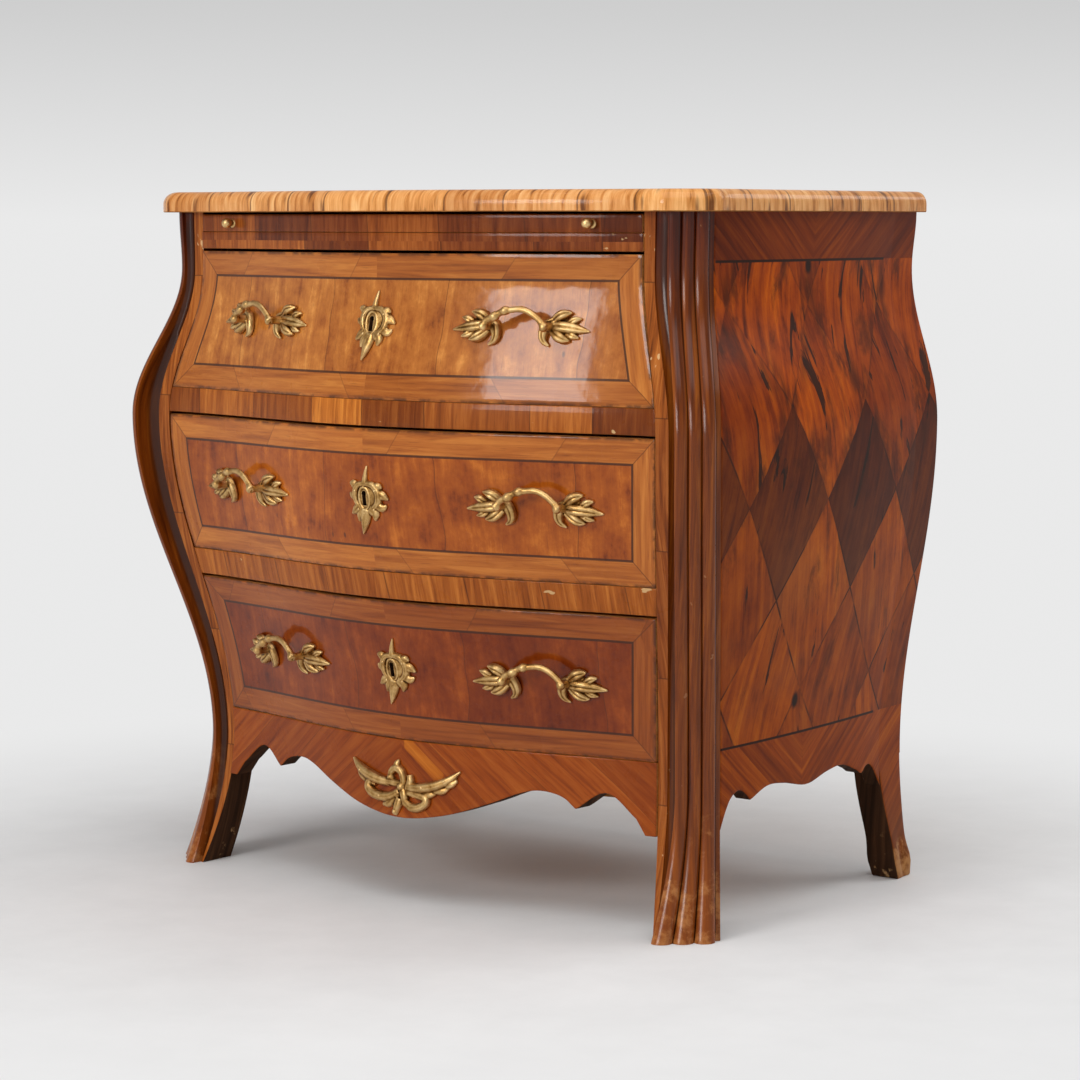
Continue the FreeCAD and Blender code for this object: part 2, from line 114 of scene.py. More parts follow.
# node trees: a wire is a node's output that can be added, multiplied and so on
class Wire:
    def __init__(self, tree, socket):
        self.tree, self.socket = tree, socket

    def calc(self, kind, *others):
        return calc(self.tree, kind, self, *others)

    def __add__(self, other):
        return self.calc("ADD", other)

    def __sub__(self, other):
        return self.calc("SUBTRACT", other)

    def __rsub__(self, other):
        return calc(self.tree, "SUBTRACT", other, self)

    def __mul__(self, other):
        return self.calc("MULTIPLY", other)

    def __truediv__(self, other):
        return self.calc("DIVIDE", other)

    def __abs__(self):
        return self.calc("ABSOLUTE")

    __radd__, __rmul__ = __add__, __mul__


def plug(socket, value):               # a wire, a number or a colour
    if isinstance(value, Wire):
        value.tree.links.new(value.socket, socket)
    elif isinstance(value, tuple):
        socket.default_value = value + (1,) * (len(socket.default_value) - len(value))
    else:
        socket.default_value = value


def addNode(tree, kind, values):
    node = tree.nodes.new(kind)
    for key, value in values.items():
        plug(node.inputs[key], value)
    return node


def calc(tree, kind, *values):
    node = tree.nodes.new("ShaderNodeMath")
    node.operation = kind
    for socket, value in zip(node.inputs, values):
        plug(socket, value)
    return Wire(tree, node.outputs[0])


def whole(value):
    return value.calc("FLOOR")


def least(a, b):
    return a.calc("MINIMUM", b)


def most(a, b):
    return a.calc("MAXIMUM", b)


def toJoint(place):                    # half way between whole numbers 0, at each of them 0.5
    return abs(place.calc("FRACT") - 0.5)


def pick(fac, a, b):                   # a where fac is 0, b where it is 1
    return a * (1 - fac) + b * fac


def axes(tree, kind="Object"):
    coord = tree.nodes.new("ShaderNodeTexCoord")
    split = addNode(tree, "ShaderNodeSeparateXYZ", {0: Wire(tree, coord.outputs[kind])})
    return [Wire(tree, socket) for socket in split.outputs]


def layer(tree, name):                 # a number kept on the points of the mesh
    node = tree.nodes.new("ShaderNodeAttribute")
    node.attribute_name = name
    return Wire(tree, node.outputs["Fac"])


def pointed(tree):                     # over a half on edges, under a half in hollows
    return Wire(tree, tree.nodes.new("ShaderNodeNewGeometry").outputs["Pointiness"])


def joinAxes(*values):
    tree = next(v.tree for v in values if isinstance(v, Wire))
    node = addNode(tree, "ShaderNodeCombineXYZ", dict(enumerate(values)))
    return Wire(tree, node.outputs[0])


def cloud(place, scale, detail=4, rough=0.55, twist=0.0):
    node = addNode(place.tree, "ShaderNodeTexNoise", {
        "Vector": place, "Scale": scale, "Detail": detail, "Roughness": rough, "Distortion": twist})
    return Wire(place.tree, node.outputs["Fac"])


def chance(*wholes):                   # one random number for each set of whole numbers
    place = joinAxes(*wholes)
    node = addNode(place.tree, "ShaderNodeTexWhiteNoise", {"Vector": place})
    return Wire(place.tree, node.outputs["Value"])


def ramp(fac, stops):
    node = addNode(fac.tree, "ShaderNodeValToRGB", {0: fac})
    band = node.color_ramp
    while len(band.elements) < len(stops):
        band.elements.new(0.5)
    for element, (place, colour) in zip(band.elements, stops):
        element.position = place
        element.color = (colour if isinstance(colour, tuple) else (colour,) * 3) + (1,)
    return Wire(fac.tree, node.outputs[0])


def between(value, low, high):         # 0 below low, 1 above high
    node = addNode(value.tree, "ShaderNodeMapRange", {0: value, 1: low, 2: high})
    node.interpolation_type = "SMOOTHSTEP"
    return Wire(value.tree, node.outputs[0])


def lay(under, amount, over, kind="MIX"):
    node = under.tree.nodes.new("ShaderNodeMix")
    node.data_type = "RGBA"
    node.blend_type = kind
    for index, value in ((0, amount), (6, under), (7, over)):
        plug(node.inputs[index], value)
    return Wire(under.tree, node.outputs[2])


def tint(colour, tone, amount=1.0):
    return lay(colour, amount, tone, "MULTIPLY")


# what all the finishes share
finish = {"rough": 0.3, "coatRough": 0.07, "woodShine": 0.06, "metalShine": 0.5, "bump": 0.0006,
          "poreFine": 850, "poreLong": 38, "pore": (0.60, 0.74),
          "smearScale": 16, "smear": 0.22, "waveScale": 42, "figure": 0.35}


def startMaterial(name, rough=finish["rough"], coat=0.0, metal=0.0):
    mat = bpy.data.materials.new(name)
    mat.use_nodes = True
    tree = mat.node_tree
    tree.nodes.clear()
    out = tree.nodes.new("ShaderNodeOutputMaterial")
    shader = addNode(tree, "ShaderNodeBsdfPrincipled", {
        "Roughness": rough, "Metallic": metal, "Coat Weight": coat, "Coat Roughness": finish["coatRough"],
        "Specular IOR Level": finish["metalShine"] if metal else finish["woodShine"]})
    tree.links.new(shader.outputs[0], out.inputs[0])
    return mat, tree, shader


def grain(across, along, seed, fine, long):
    return cloud(joinAxes(across * fine, along * long, seed), 1, 5, 0.62, 0.5)


def pores(across, along, seed):
    place = joinAxes(across * finish["poreFine"], along * finish["poreLong"], seed)
    return between(cloud(place, 1, 2, 0.5), *finish["pore"])


def roughen(shader, height, strength, deep=finish["bump"]):
    bump = addNode(height.tree, "ShaderNodeBump", {"Strength": strength, "Distance": deep, "Height": height})
    normal = Wire(height.tree, bump.outputs[0])
    plug(shader.inputs["Normal"], normal)
    return normal


def polish(shader, figure, colour, dull=0.24, wavy=0.5):
    place = joinAxes(*axes(figure.tree))
    smear = cloud(place, finish["smearScale"], 4, 0.6) * finish["smear"]
    plug(shader.inputs["Roughness"], smear + (dull - 0.06))
    plug(shader.inputs["Base Color"], colour)
    waves = cloud(place, finish["waveScale"], 2, 0.5) * wavy
    plug(shader.inputs["Coat Normal"], roughen(shader, figure * finish["figure"] + waves, 0.35))


# drawer fronts: upright sheets in a golden border, with a dark string between; sizes in metres
drawerLook = {
    "coat": 0.46, "dull": 0.24, "wavy": 1.0,
    "rowsPerMetre": 5.45, "sheetsPerMetre": 6.3, "lengthsPerMetre": 5.1,
    "border": (0.0274, 0.0268), "stringAt": 0.0272, "string": (0.0017, 0.0009), "mitre": (0.0011, 0.0005),
    "worn": (0.0050, 0.0005), "sheetJoint": (0.4955, 0.4985), "lengthJoint": (0.4945, 0.4975),
    "panel": [(0.34, (0.15, 0.032, 0.005)), (0.43, (0.33, 0.092, 0.014)),
              (0.54, (0.47, 0.157, 0.027)), (0.65, (0.68, 0.28, 0.064))],
    "sheetTones": [(0.0, (0.84, 0.76, 0.7)), (1.0, (1.12, 1.16, 1.2))],
    "panelRows": [(0.25, (0.50, 0.26, 0.10)), (0.5, (0.86, 0.62, 0.28)), (0.75, (1.02, 1.02, 0.97))],
    "frame": [(0.25, (0.22, 0.058, 0.009)), (0.47, (0.40, 0.122, 0.019)), (0.75, (0.58, 0.225, 0.045))],
    "lengthTones": [(0.0, (0.89, 0.83, 0.76)), (1.0, (1.09, 1.08, 1.06))],
    "frameRows": [(0.25, (0.68, 0.52, 0.41)), (0.5, (0.99, 0.92, 0.8)), (0.75, (0.95, 0.9, 0.8))],
}


def drawerVeneer():
    look = drawerLook
    mat, tree, shader = startMaterial("drawerVeneer", coat=look["coat"])
    x, y, z = axes(tree)
    fromSide, fromEdge = layer(tree, "fromSide"), layer(tree, "fromEdge")
    rim = least(fromSide, fromEdge)
    border = between(rim, *look["border"])
    upright = fromSide.calc("LESS_THAN", fromEdge)
    row = whole(z * look["rowsPerMetre"])                # 3, 2 and 1 from the top drawer down
    rowShare = row * 0.25
    # upright sheets of the middle panel
    sway = cloud(joinAxes(x, row, z), 9, 2) * 0.03
    sheetPlace = (x + sway) * look["sheetsPerMetre"] + 0.31
    sheetTone = chance(whole(sheetPlace), row, 3)
    panelGrain = grain(x + sway, z, sheetTone * 31 + row, 85, 6)
    cloudy = cloud(joinAxes(x * 1.3, z, row), 21, 6, 0.7)
    figure = panelGrain * 0.34 + cloudy * 0.66
    panel = ramp(figure, look["panel"])
    panel = tint(panel, ramp(sheetTone, look["sheetTones"]))
    panel = tint(panel, ramp(rowShare, look["panelRows"]))
    panel = lay(panel, between(toJoint(sheetPlace), *look["sheetJoint"]) * 0.6, (0.06, 0.016, 0.004))
    # specks and short dark marks
    spots = addNode(tree, "ShaderNodeTexVoronoi", {"Scale": 34, "Vector": joinAxes(x * 1.5, y, z * 0.8)})
    split = addNode(tree, "ShaderNodeSeparateColor", {0: Wire(tree, spots.outputs["Color"])})
    few = Wire(tree, split.outputs[0]).calc("GREATER_THAN", 0.80)
    knot = between(Wire(tree, spots.outputs["Distance"]), 0.13, 0.04) * few
    panel = lay(panel, knot * 0.75, (0.05, 0.013, 0.004))
    # the golden border, in lengths with slanting joints
    along, across = pick(upright, x, z), pick(upright, fromEdge, fromSide)
    lengthPlace = (across * 0.7 + x) * look["lengthsPerMetre"] + row * 0.37
    lengthTone = chance(whole(lengthPlace), upright * 5 + row, x.calc("SIGN"))
    frameWood = ramp(grain(across, along, lengthTone * 47, 150, 8), look["frame"])
    frameWood = tint(frameWood, ramp(lengthTone, look["lengthTones"]))
    frameWood = tint(frameWood, ramp(rowShare, look["frameRows"]))
    cut = between(toJoint(lengthPlace), *look["lengthJoint"]) * (1 - upright)
    mitre = between(abs(fromSide - fromEdge), *look["mitre"])
    frameWood = lay(frameWood, most(cut * 0.55, mitre) * 0.6, (0.07, 0.018, 0.004))
    colour = lay(panel, border, frameWood)
    string = between(abs(rim - look["stringAt"]), *look["string"])
    colour = lay(colour, string * 0.88, (0.04, 0.012, 0.004))
    fleck = pores(pick(border, x, across), pick(border, z, along), row)
    colour = lay(colour, fleck * 0.4, (0.08, 0.018, 0.004))
    # rubbed and chipped edges
    worn = between(rim, *look["worn"]) * between(cloud(joinAxes(x, y, z), 60, 3), 0.36, 0.58)
    colour = lay(colour, worn * 0.85, (0.07, 0.02, 0.006))
    polish(shader, figure, colour, look["dull"], look["wavy"])
    return mat


# rails and slide front: upright blocks of uneven width and tone
railLook = {
    "coat": 0.22, "blocksPerMetre": 10.5, "joint": (0.490, 0.496), "shadeUnderTop": (0.70, 0.712),
    "wood": [(0.25, (0.14, 0.032, 0.004)), (0.47, (0.33, 0.09, 0.012)), (0.75, (0.54, 0.19, 0.034))],
    "tones": [(0.0, (0.42, 0.30, 0.24)), (0.3, (0.86, 0.75, 0.65)),
              (0.7, (1.12, 1.08, 0.95)), (1.0, (1.6, 1.7, 1.4))],
}


def railVeneer():
    look = railLook
    mat, tree, shader = startMaterial("railVeneer", coat=look["coat"])
    x, y, z = axes(tree)
    row = whole(z * 6.2 + 0.5)
    wander = cloud(joinAxes(x * 4, row, 0), 1, 1) * 1.4
    blockPlace = x * look["blocksPerMetre"] + wander + z * 0.6
    tone = chance(whole(blockPlace), row, 1)
    figure = grain(x, z, tone * 53 + row, 140, 9)
    colour = tint(ramp(figure, look["wood"]), ramp(tone, look["tones"]))
    colour = tint(colour, (0.62, 0.52, 0.6), between(z, *look["shadeUnderTop"]))      # painted shade under the tabletop
    colour = lay(colour, between(toJoint(blockPlace), *look["joint"]) * 0.6, (0.06, 0.016, 0.004))
    colour = lay(colour, pores(x, z, row) * 0.45, (0.07, 0.018, 0.004))
    chip = between(cloud(joinAxes(x * 0.8, y, z * 1.6), 34, 3, 0.6), 0.70, 0.72)
    colour = lay(colour, chip * 0.8, (0.62, 0.40, 0.18))
    polish(shader, figure, colour)
    return mat


# apron: chevrons that run down and out from the middle, with a paler strip let in beside the mount
apronLook = {
    "coat": 0.22, "stripsPerMetre": 17, "lean": (0.62, 0.78), "joint": (0.489, 0.496),
    "repairAt": 0.1445, "repair": (0.0078, 0.0070),
    "repairFrom": (0.0035, 0.0045), "repairTo": (0.058, 0.056),
    "wood": [(0.25, (0.15, 0.026, 0.003)), (0.47, (0.285, 0.058, 0.005)), (0.75, (0.42, 0.115, 0.016))],
    "tones": [(0.0, (0.78, 0.66, 0.58)), (0.75, (1.05, 1.0, 0.95)),
              (0.9, (1.15, 1.15, 1.0)), (1.0, (1.6, 2.0, 1.4))],
}


def apronVeneer():
    look = apronLook
    mat, tree, shader = startMaterial("apronVeneer", coat=look["coat"])
    x, y, z = axes(tree)
    sideways, upwards = look["lean"]
    turned = abs(x) * sideways + z * upwards
    downhill = abs(x) * upwards - z * sideways
    stripPlace = turned * look["stripsPerMetre"] + 0.2
    tone = chance(whole(stripPlace), x.calc("SIGN"), 5)
    figure = grain(turned, downhill, tone * 29, 130, 8)
    colour = tint(ramp(figure, look["wood"]), ramp(tone, look["tones"]))
    colour = lay(colour, between(toJoint(stripPlace), *look["joint"]) * 0.4, (0.05, 0.012, 0.003))
    colour = lay(colour, pores(turned, downhill, 3) * 0.4, (0.06, 0.014, 0.003))
    repair = between(abs(turned - look["repairAt"]), *look["repair"])
    repair = repair * (between(x, *look["repairFrom"]) * between(x, *look["repairTo"]))
    colour = tint(colour, (1.6, 2.1, 1.6), repair)
    polish(shader, figure, colour)
    return mat


# sides: tall lozenges set point to point between two plain bands; heights and places in metres
sideLook = {
    "coat": 0.03, "shine": 0.05, "dull": 0.28, "lozengeMiddle": (-0.056, 0.453), "lozenge": (0.157, 0.206),
    "seam": (0.484, 0.496), "knots": ((0.030, 0.700), (0.015, 0.234)), "knot": (0.012, 0.005),
    "head": (0.7055, 0.7062), "foot": (0.1975, 0.1968), "lines": (0.7058, 0.1972), "line": (0.0019, 0.0009),
    "lineFrom": (-0.150, -0.146), "lineTo": (0.205, 0.201),
    "wood": [(0.32, (0.09, 0.012, 0.0)), (0.44, (0.29, 0.048, 0.001)),
             (0.55, (0.43, 0.085, 0.001)), (0.70, (0.58, 0.15, 0.006))],
    "tones": [(0.0, (0.55, 0.45, 0.4)), (0.5, (0.95, 0.92, 0.9)), (1.0, (1.3, 1.35, 1.2))],
    "band": [(0.25, (0.09, 0.012, 0.0)), (0.5, (0.25, 0.042, 0.001)), (0.75, (0.40, 0.092, 0.004))],
    "bandTones": [(0.0, (0.75, 0.68, 0.6)), (1.0, (1.15, 1.15, 1.1))],
}


def sideVeneer():
    look = sideLook
    mat, tree, shader = startMaterial("sideVeneer", coat=look["coat"])
    x, y, z = axes(tree)
    place = joinAxes(x, y, z)
    (middleY, middleZ), (wide, tall) = look["lozengeMiddle"], look["lozenge"]
    over, down = (y - middleY) * (1 / wide), (z - middleZ) * (1 / tall)
    u, v = over + down, over - down
    iu, iv = whole(u + 0.5), whole(v + 0.5)
    level = iu - iv
    tone = chance(iu, iv, x.calc("SIGN"))
    stripeTone = chance(whole(y * 24 + iu * 0.41), iu, iv)
    lean = z * (((level * 0.5).calc("FRACT") - 0.25) * 0.9) + y
    mottled = cloud(joinAxes(y, z * 0.6, tone), 28, 5, 0.7)
    figure = grain(lean, z, tone * 37, 95, 7) * 0.6 + mottled * 0.4
    colour = tint(ramp(figure, look["wood"]), ramp(stripeTone * 0.35 + tone * 0.65, look["tones"]))
    darkRow = between(abs(level), 0.6, 0.4)              # the middle row of diamonds is the darkest
    colour = tint(colour, (0.27, 0.25, 0.9), darkRow * 0.9)
    # below the belly the side is darker, and the polish has greyed in patches
    faded = between(z, 0.48, 0.36) * between(cloud(place, 7, 3), 0.3, 0.7)
    colour = tint(colour, (0.76, 0.72, 0.7), between(z, 0.44, 0.30))
    colour = lay(colour, faded * 0.35, (0.22, 0.070, 0.022))
    colour = tint(colour, (0.92, 0.76, 0.6), between(z, 0.46, 0.56))
    paler = iu.calc("COMPARE", 0, 0.1) * iv.calc("COMPARE", 1, 0.1)      # one lozenge is paler
    colour = tint(colour, (1.35, 1.45, 1.2), paler)
    nearSeam = most(toJoint(u + 0.5), toJoint(v + 0.5))
    broken = between(cloud(place, 19, 3), 0.38, 0.6)
    seam = between(nearSeam, *look["seam"]) * (broken * 0.7 + 0.2)
    colour = lay(colour, seam * (between(z, 0.66, 0.50) * 0.6 + 0.4), (0.03, 0.008, 0.002))
    # above the belly the polish has soaked in along the seams
    soak = between(cloud(joinAxes(y * 40, z * 11, 6), 1, 4, 0.65, 0.5), 0.44, 0.62)
    soak = soak * between(nearSeam, 0.30, 0.48) * between(z, 0.40, 0.52)
    colour = lay(colour, soak * 0.75, (0.045, 0.008, 0.001))
    # dark cracks and streaks that follow the grain
    upper = between(z, 0.36, 0.50) * 0.045
    crack = between(cloud(joinAxes(lean * 52, z * 9, 4), 1, 4, 0.6, 0.7) + upper, 0.645, 0.69)
    colour = lay(colour, crack * 0.92, (0.018, 0.006, 0.002))
    streak = between(cloud(joinAxes(lean * 24, z * 9, 9), 1, 6, 0.7, 0.4) + upper, 0.54, 0.72)
    colour = lay(colour, streak * 0.75, (0.06, 0.011, 0.001))
    for knotY, knotZ in look["knots"]:                   # on the middle line, near the top and near the foot
        offY, offZ = (y - knotY) * 1.4, z - knotZ
        ring = (offY * offY + offZ * offZ).calc("SQRT")
        colour = lay(colour, between(ring, *look["knot"]), (0.02, 0.006, 0.002))
    # plain bands above and below the lozenges, with a line between
    head, foot = between(z, *look["head"]), between(z, *look["foot"])
    bandLean = abs(y - 0.04) * -0.75 + z
    bandTone = chance(whole(bandLean * 30), 2, 2)
    band = ramp(grain(bandLean, y, bandTone * 9, 110, 7), look["band"])
    band = tint(band, ramp(bandTone, look["bandTones"]))
    band = tint(band, (0.72, 0.62, 0.6), head)
    colour = lay(colour, most(head, foot), band)
    upperLine, lowerLine = look["lines"]
    line = between(least(abs(z - upperLine), abs(z - lowerLine)), *look["line"])
    onPanel = between(y, *look["lineFrom"]) * between(y, *look["lineTo"])
    colour = lay(colour, line * onPanel, (0.025, 0.007, 0.002))
    colour = lay(colour, pores(lean, z, 2) * 0.45, (0.06, 0.012, 0.002))
    # the rear feet are darker towards the floor, with paler rubbed toes
    colour = lay(colour, between(z, 0.15, 0.04) * 0.6, (0.15, 0.040, 0.007))
    toe = cloud(place, 34, 5, 0.7) + between(z, 0.055, 0.015) * 0.24
    colour = lay(colour, between(toe, 0.60, 0.80) * between(z, 0.11, 0.05), (0.44, 0.20, 0.065))
    plug(shader.inputs["Specular IOR Level"], look["shine"])
    polish(shader, figure, colour, look["dull"])
    return mat


# posts: dark walnut, with painted shade in the hollows between the reeds, and the polish lost at the feet
postLook = {
    "coat": 0.5, "coatRough": 0.2, "shine": 0.03, "dull": 0.24, "wavy": 0.12, "hollowShade": (0.492, 0.455),
    "wood": [(0.28, (0.045, 0.007, 0.001)), (0.5, (0.175, 0.036, 0.003)), (0.72, (0.34, 0.090, 0.008))],
}


def postWalnut():
    look = postLook
    mat, tree, shader = startMaterial("postWalnut", coat=look["coat"])
    x, y, z = axes(tree)
    place = joinAxes(x, y, z)
    turn = abs(x) + y * 0.9
    figure = grain(turn, z, 2, 120, 5)
    colour = tint(ramp(figure, look["wood"]), (0.48, 0.30, 0.2), between(z, 0.62, 0.74))
    colour = lay(colour, between(z, 0.20, 0.03) * 0.42, (0.30, 0.076, 0.013))
    colour = lay(colour, pores(turn, z, 1) * 0.5, (0.035, 0.008, 0.002))
    rub = between(cloud(place, 34, 5, 0.7) + between(z, 0.13, 0.0) * 0.14, 0.56, 0.74)
    colour = lay(colour, rub * between(z, 0.16, 0.09) * 0.75, (0.47, 0.19, 0.055))
    chip = between(cloud(place, 55, 3, 0.6), 0.71, 0.73)
    colour = lay(colour, chip * 0.5, (0.36, 0.16, 0.06))
    # painted shade: darker where the surface is hollow, in the grooves between the reeds
    colour = lay(colour, between(pointed(tree), *look["hollowShade"]) * 0.8, (0.022, 0.005, 0.001))
    plug(shader.inputs["Coat Roughness"], look["coatRough"])
    plug(shader.inputs["Specular IOR Level"], look["shine"])
    polish(shader, figure, colour, look["dull"], look["wavy"])
    return mat


# the flat strip of each post beside the drawers
stripLook = {
    "coat": 0.22, "lengthsPerMetre": 7.3, "joint": (0.493, 0.497), "chipped": (0.69, 0.735),
    "wood": [(0.28, (0.07, 0.014, 0.002)), (0.47, (0.27, 0.067, 0.009)), (0.72, (0.50, 0.17, 0.034))],
    "tones": [(0.0, (0.78, 0.68, 0.6)), (1.0, (1.15, 1.15, 1.1))],
}


def stripVeneer():
    look = stripLook
    mat, tree, shader = startMaterial("stripVeneer", coat=look["coat"])
    x, y, z = axes(tree)
    lengthPlace = z * look["lengthsPerMetre"]
    tone = chance(whole(lengthPlace), x.calc("SIGN"), 8)
    figure = grain(x, z, tone * 19, 170, 8)
    colour = tint(ramp(figure, look["wood"]), ramp(tone, look["tones"]))
    colour = lay(colour, between(toJoint(lengthPlace), *look["joint"]) * 0.6, (0.05, 0.014, 0.004))
    colour = lay(colour, pores(x, z, 6) * 0.4, (0.06, 0.014, 0.004))
    rise = between(z, *look["chipped"]) * 0.10           # most chips are at the top of the post
    chip = between(cloud(joinAxes(x, y, z * 0.7), 52, 3, 0.6) + rise, 0.68, 0.71)
    colour = lay(colour, chip * 0.85, (0.70, 0.45, 0.22))
    polish(shader, figure, colour)
    return mat


# tabletop: a streaky crossbanded rim round four matched leaves of veneer
topLook = {
    "coat": 0.28, "blocksPerMetre": 13, "joint": (0.478, 0.492), "middleY": 0.01, "cross": (0.0008, 0.0003),
    "field": (0.0615, 0.0622), "stringAt": 0.062, "string": (0.0014, 0.0008),
    "rim": [(0.26, (0.14, 0.036, 0.007)), (0.38, (0.48, 0.18, 0.042)),
            (0.50, (0.67, 0.29, 0.09)), (0.70, (0.84, 0.47, 0.20))],
    "rimTones": [(0.0, (0.72, 0.60, 0.5)), (0.4, (1.0, 0.97, 0.92)), (1.0, (1.12, 1.15, 1.1))],
    "leaves": [(0.25, (0.17, 0.04, 0.007)), (0.45, (0.36, 0.105, 0.018)), (0.75, (0.56, 0.21, 0.045))],
}


def topVeneer():
    look = topLook
    mat, tree, shader = startMaterial("topVeneer", coat=look["coat"])
    x, y, z = axes(tree)
    fromRim, alongRim = layer(tree, "fromRim"), layer(tree, "alongRim")
    blockPlace = alongRim * look["blocksPerMetre"] + cloud(joinAxes(alongRim * 7, 0, 0), 1, 1)
    tone = chance(whole(blockPlace), 4, 4)
    figure = grain(alongRim, fromRim + z, tone * 23, 150, 14)
    rimWood = tint(ramp(figure, look["rim"]), ramp(tone, look["rimTones"]))
    streak = cloud(joinAxes(alongRim * 50, (z + fromRim) * 9, 3), 1, 3, 0.55)
    onEdge = between(fromRim, 0.020, 0.008) * 0.55 + 0.3
    rimWood = lay(rimWood, between(streak, 0.55, 0.66) * onEdge, (0.10, 0.024, 0.005))
    rimWood = lay(rimWood, between(toJoint(blockPlace), *look["joint"]) * 0.7, (0.06, 0.02, 0.008))
    ax, ay = abs(x), abs(y - look["middleY"])
    flow, drift = ax * 0.8 + ay * -0.6, ax * 0.6 + ay * 0.8
    field = ramp(grain(flow, drift, 5, 60, 3.5), look["leaves"])
    field = lay(field, between(least(ax, ay), *look["cross"]) * 0.7, (0.05, 0.016, 0.006))
    field = lay(field, pores(flow, drift, 2) * 0.4, (0.06, 0.016, 0.005))
    colour = lay(rimWood, between(fromRim, *look["field"]), field)
    string = between(abs(fromRim - look["stringAt"]), *look["string"])
    colour = lay(colour, string * 0.9, (0.035, 0.012, 0.005))
    polish(shader, figure, colour)
    return mat


# plain boards inside and behind
pineLook = {
    "rough": 0.62, "boardsPerMetre": 4.862, "boardShift": 0.3193,
    "seam": (0.488, 0.496), "behind": (0.25, 0.26),
    "wood": [(0.27, (0.16, 0.049, 0.011)), (0.46, (0.38, 0.146, 0.037)), (0.72, (0.56, 0.262, 0.080))],
    "tones": [(0.0, (0.72, 0.66, 0.6)), (1.0, (1.08, 1.08, 1.08))],
}


def innerPine():
    look = pineLook
    mat, tree, shader = startMaterial("innerPine", look["rough"])
    x, y, z = axes(tree)
    facing = axes(tree, "Normal")
    flat = abs(facing[2]).calc("GREATER_THAN", 0.7)
    endways = abs(facing[0]).calc("GREATER_THAN", 0.7)
    across, along = pick(flat, z, y), pick(endways, x, y)
    boardPlace = across * look["boardsPerMetre"] + look["boardShift"]      # three boards up the back
    board = chance(whole(boardPlace), flat, endways)
    sway = cloud(joinAxes(along * 2.2, across * 7, board), 1, 2) * 0.035
    figure = grain(across + sway, along, board * 9, 95, 2.2)
    colour = tint(ramp(figure, look["wood"]), ramp(board, look["tones"]))
    seam = between(toJoint(boardPlace), *look["seam"]) * (between(y, *look["behind"]) * 0.85)
    colour = lay(colour, seam, (0.03, 0.012, 0.004))
    grime = between(cloud(joinAxes(x, y, z), 6, 5, 0.65), 0.42, 0.72)
    colour = lay(colour, grime * 0.4, (0.12, 0.046, 0.013))
    colour = lay(colour, pores(across, along, 1) * 0.35, (0.08, 0.034, 0.012))
    plug(shader.inputs["Base Color"], colour)
    roughen(shader, figure, 0.3)
    return mat


# unfinished edges and insides of the feet, made near-black: bare wood and painted shade, put on faces turned
# from the light, under edges and in keyholes
bareAndShadeLook = {"rough": 0.7, "scuffed": (0.06, 0.02),
            "wood": [(0.3, (0.018, 0.008, 0.004)), (0.55, (0.052, 0.022, 0.010)), (0.75, (0.12, 0.05, 0.02))]}


def bareWoodAndShade():
    mat, tree, shader = startMaterial("bareWoodAndShade", bareAndShadeLook["rough"])
    x, y, z = axes(tree)
    figure = grain(abs(x) + y, z, 4, 90, 6)
    scuff = between(cloud(joinAxes(x, y, z), 60, 4, 0.65), 0.60, 0.70) * between(z, *bareAndShadeLook["scuffed"])
    plug(shader.inputs["Base Color"], lay(ramp(figure, bareAndShadeLook["wood"]), scuff, (0.5, 0.28, 0.12)))
    roughen(shader, figure, 0.4, 0.0008)
    return mat


# worn gilding: bright on edges, dark in hollows
brassLook = {"rough": 0.42, "edge": (0.44, 0.55), "edgeShare": 0.42,
             "patchScale": 95, "patch": 0.62, "pitScale": 380,
             "gilt": [(0.28, (0.020, 0.007, 0.002)), (0.44, (0.20, 0.092, 0.022)),
                      (0.56, (0.47, 0.265, 0.088)), (0.78, (0.80, 0.56, 0.26))]}


def giltBrass():
    look = brassLook
    mat, tree, shader = startMaterial("giltBrass", look["rough"], metal=1.0)
    place = joinAxes(*axes(tree))
    patch = cloud(place, look["patchScale"], 4, 0.65)
    edge = between(pointed(tree), *look["edge"])
    plug(shader.inputs["Base Color"], ramp(patch * look["patch"] + edge * look["edgeShare"], look["gilt"]))
    plug(shader.inputs["Roughness"], patch * 0.25 + 0.30)
    roughen(shader, cloud(place, look["pitScale"], 3, 0.6), 0.3)
    return mat


steelLook = {"rough": 0.45, "rustScale": 70, "rust": (0.5, 0.66),
             "steel": [(0.3, (0.13, 0.125, 0.12)), (0.7, (0.31, 0.30, 0.29))]}


def lockSteel():
    look = steelLook
    mat, tree, shader = startMaterial("lockSteel", look["rough"], metal=1.0)
    x, y, z = axes(tree)
    rust = between(cloud(joinAxes(x, y, z), look["rustScale"], 5, 0.7), *look["rust"])
    brushed = ramp(cloud(joinAxes(x * 30, y, z * 900), 1, 3), look["steel"])
    plug(shader.inputs["Base Color"], lay(brushed, rust * 0.7, (0.13, 0.06, 0.03)))
    plug(shader.inputs["Roughness"], rust * 0.35 + 0.32)
    return mat


wood = {"drawer": drawerVeneer(), "rail": railVeneer(), "apron": apronVeneer(), "side": sideVeneer(),
        "post": postWalnut(), "strip": stripVeneer(), "top": topVeneer(), "pine": innerPine(),
        "bareAndShade": bareWoodAndShade()}
brass = giltBrass()
steel = lockSteel()
print("materials ready")


# mesh helpers
def newMesh(name, verts, faces, layers=None, faceMats=None):
    mesh = bpy.data.meshes.new(name)
    mesh.from_pydata([Vector(v) * mm for v in verts], [], faces)
    for key, values in (layers or {}).items():
        mesh.attributes.new(key, "FLOAT", "POINT").data.foreach_set("value", values)
    if faceMats:
        mesh.polygons.foreach_set("material_index", faceMats)
    mesh.update()
    return mesh


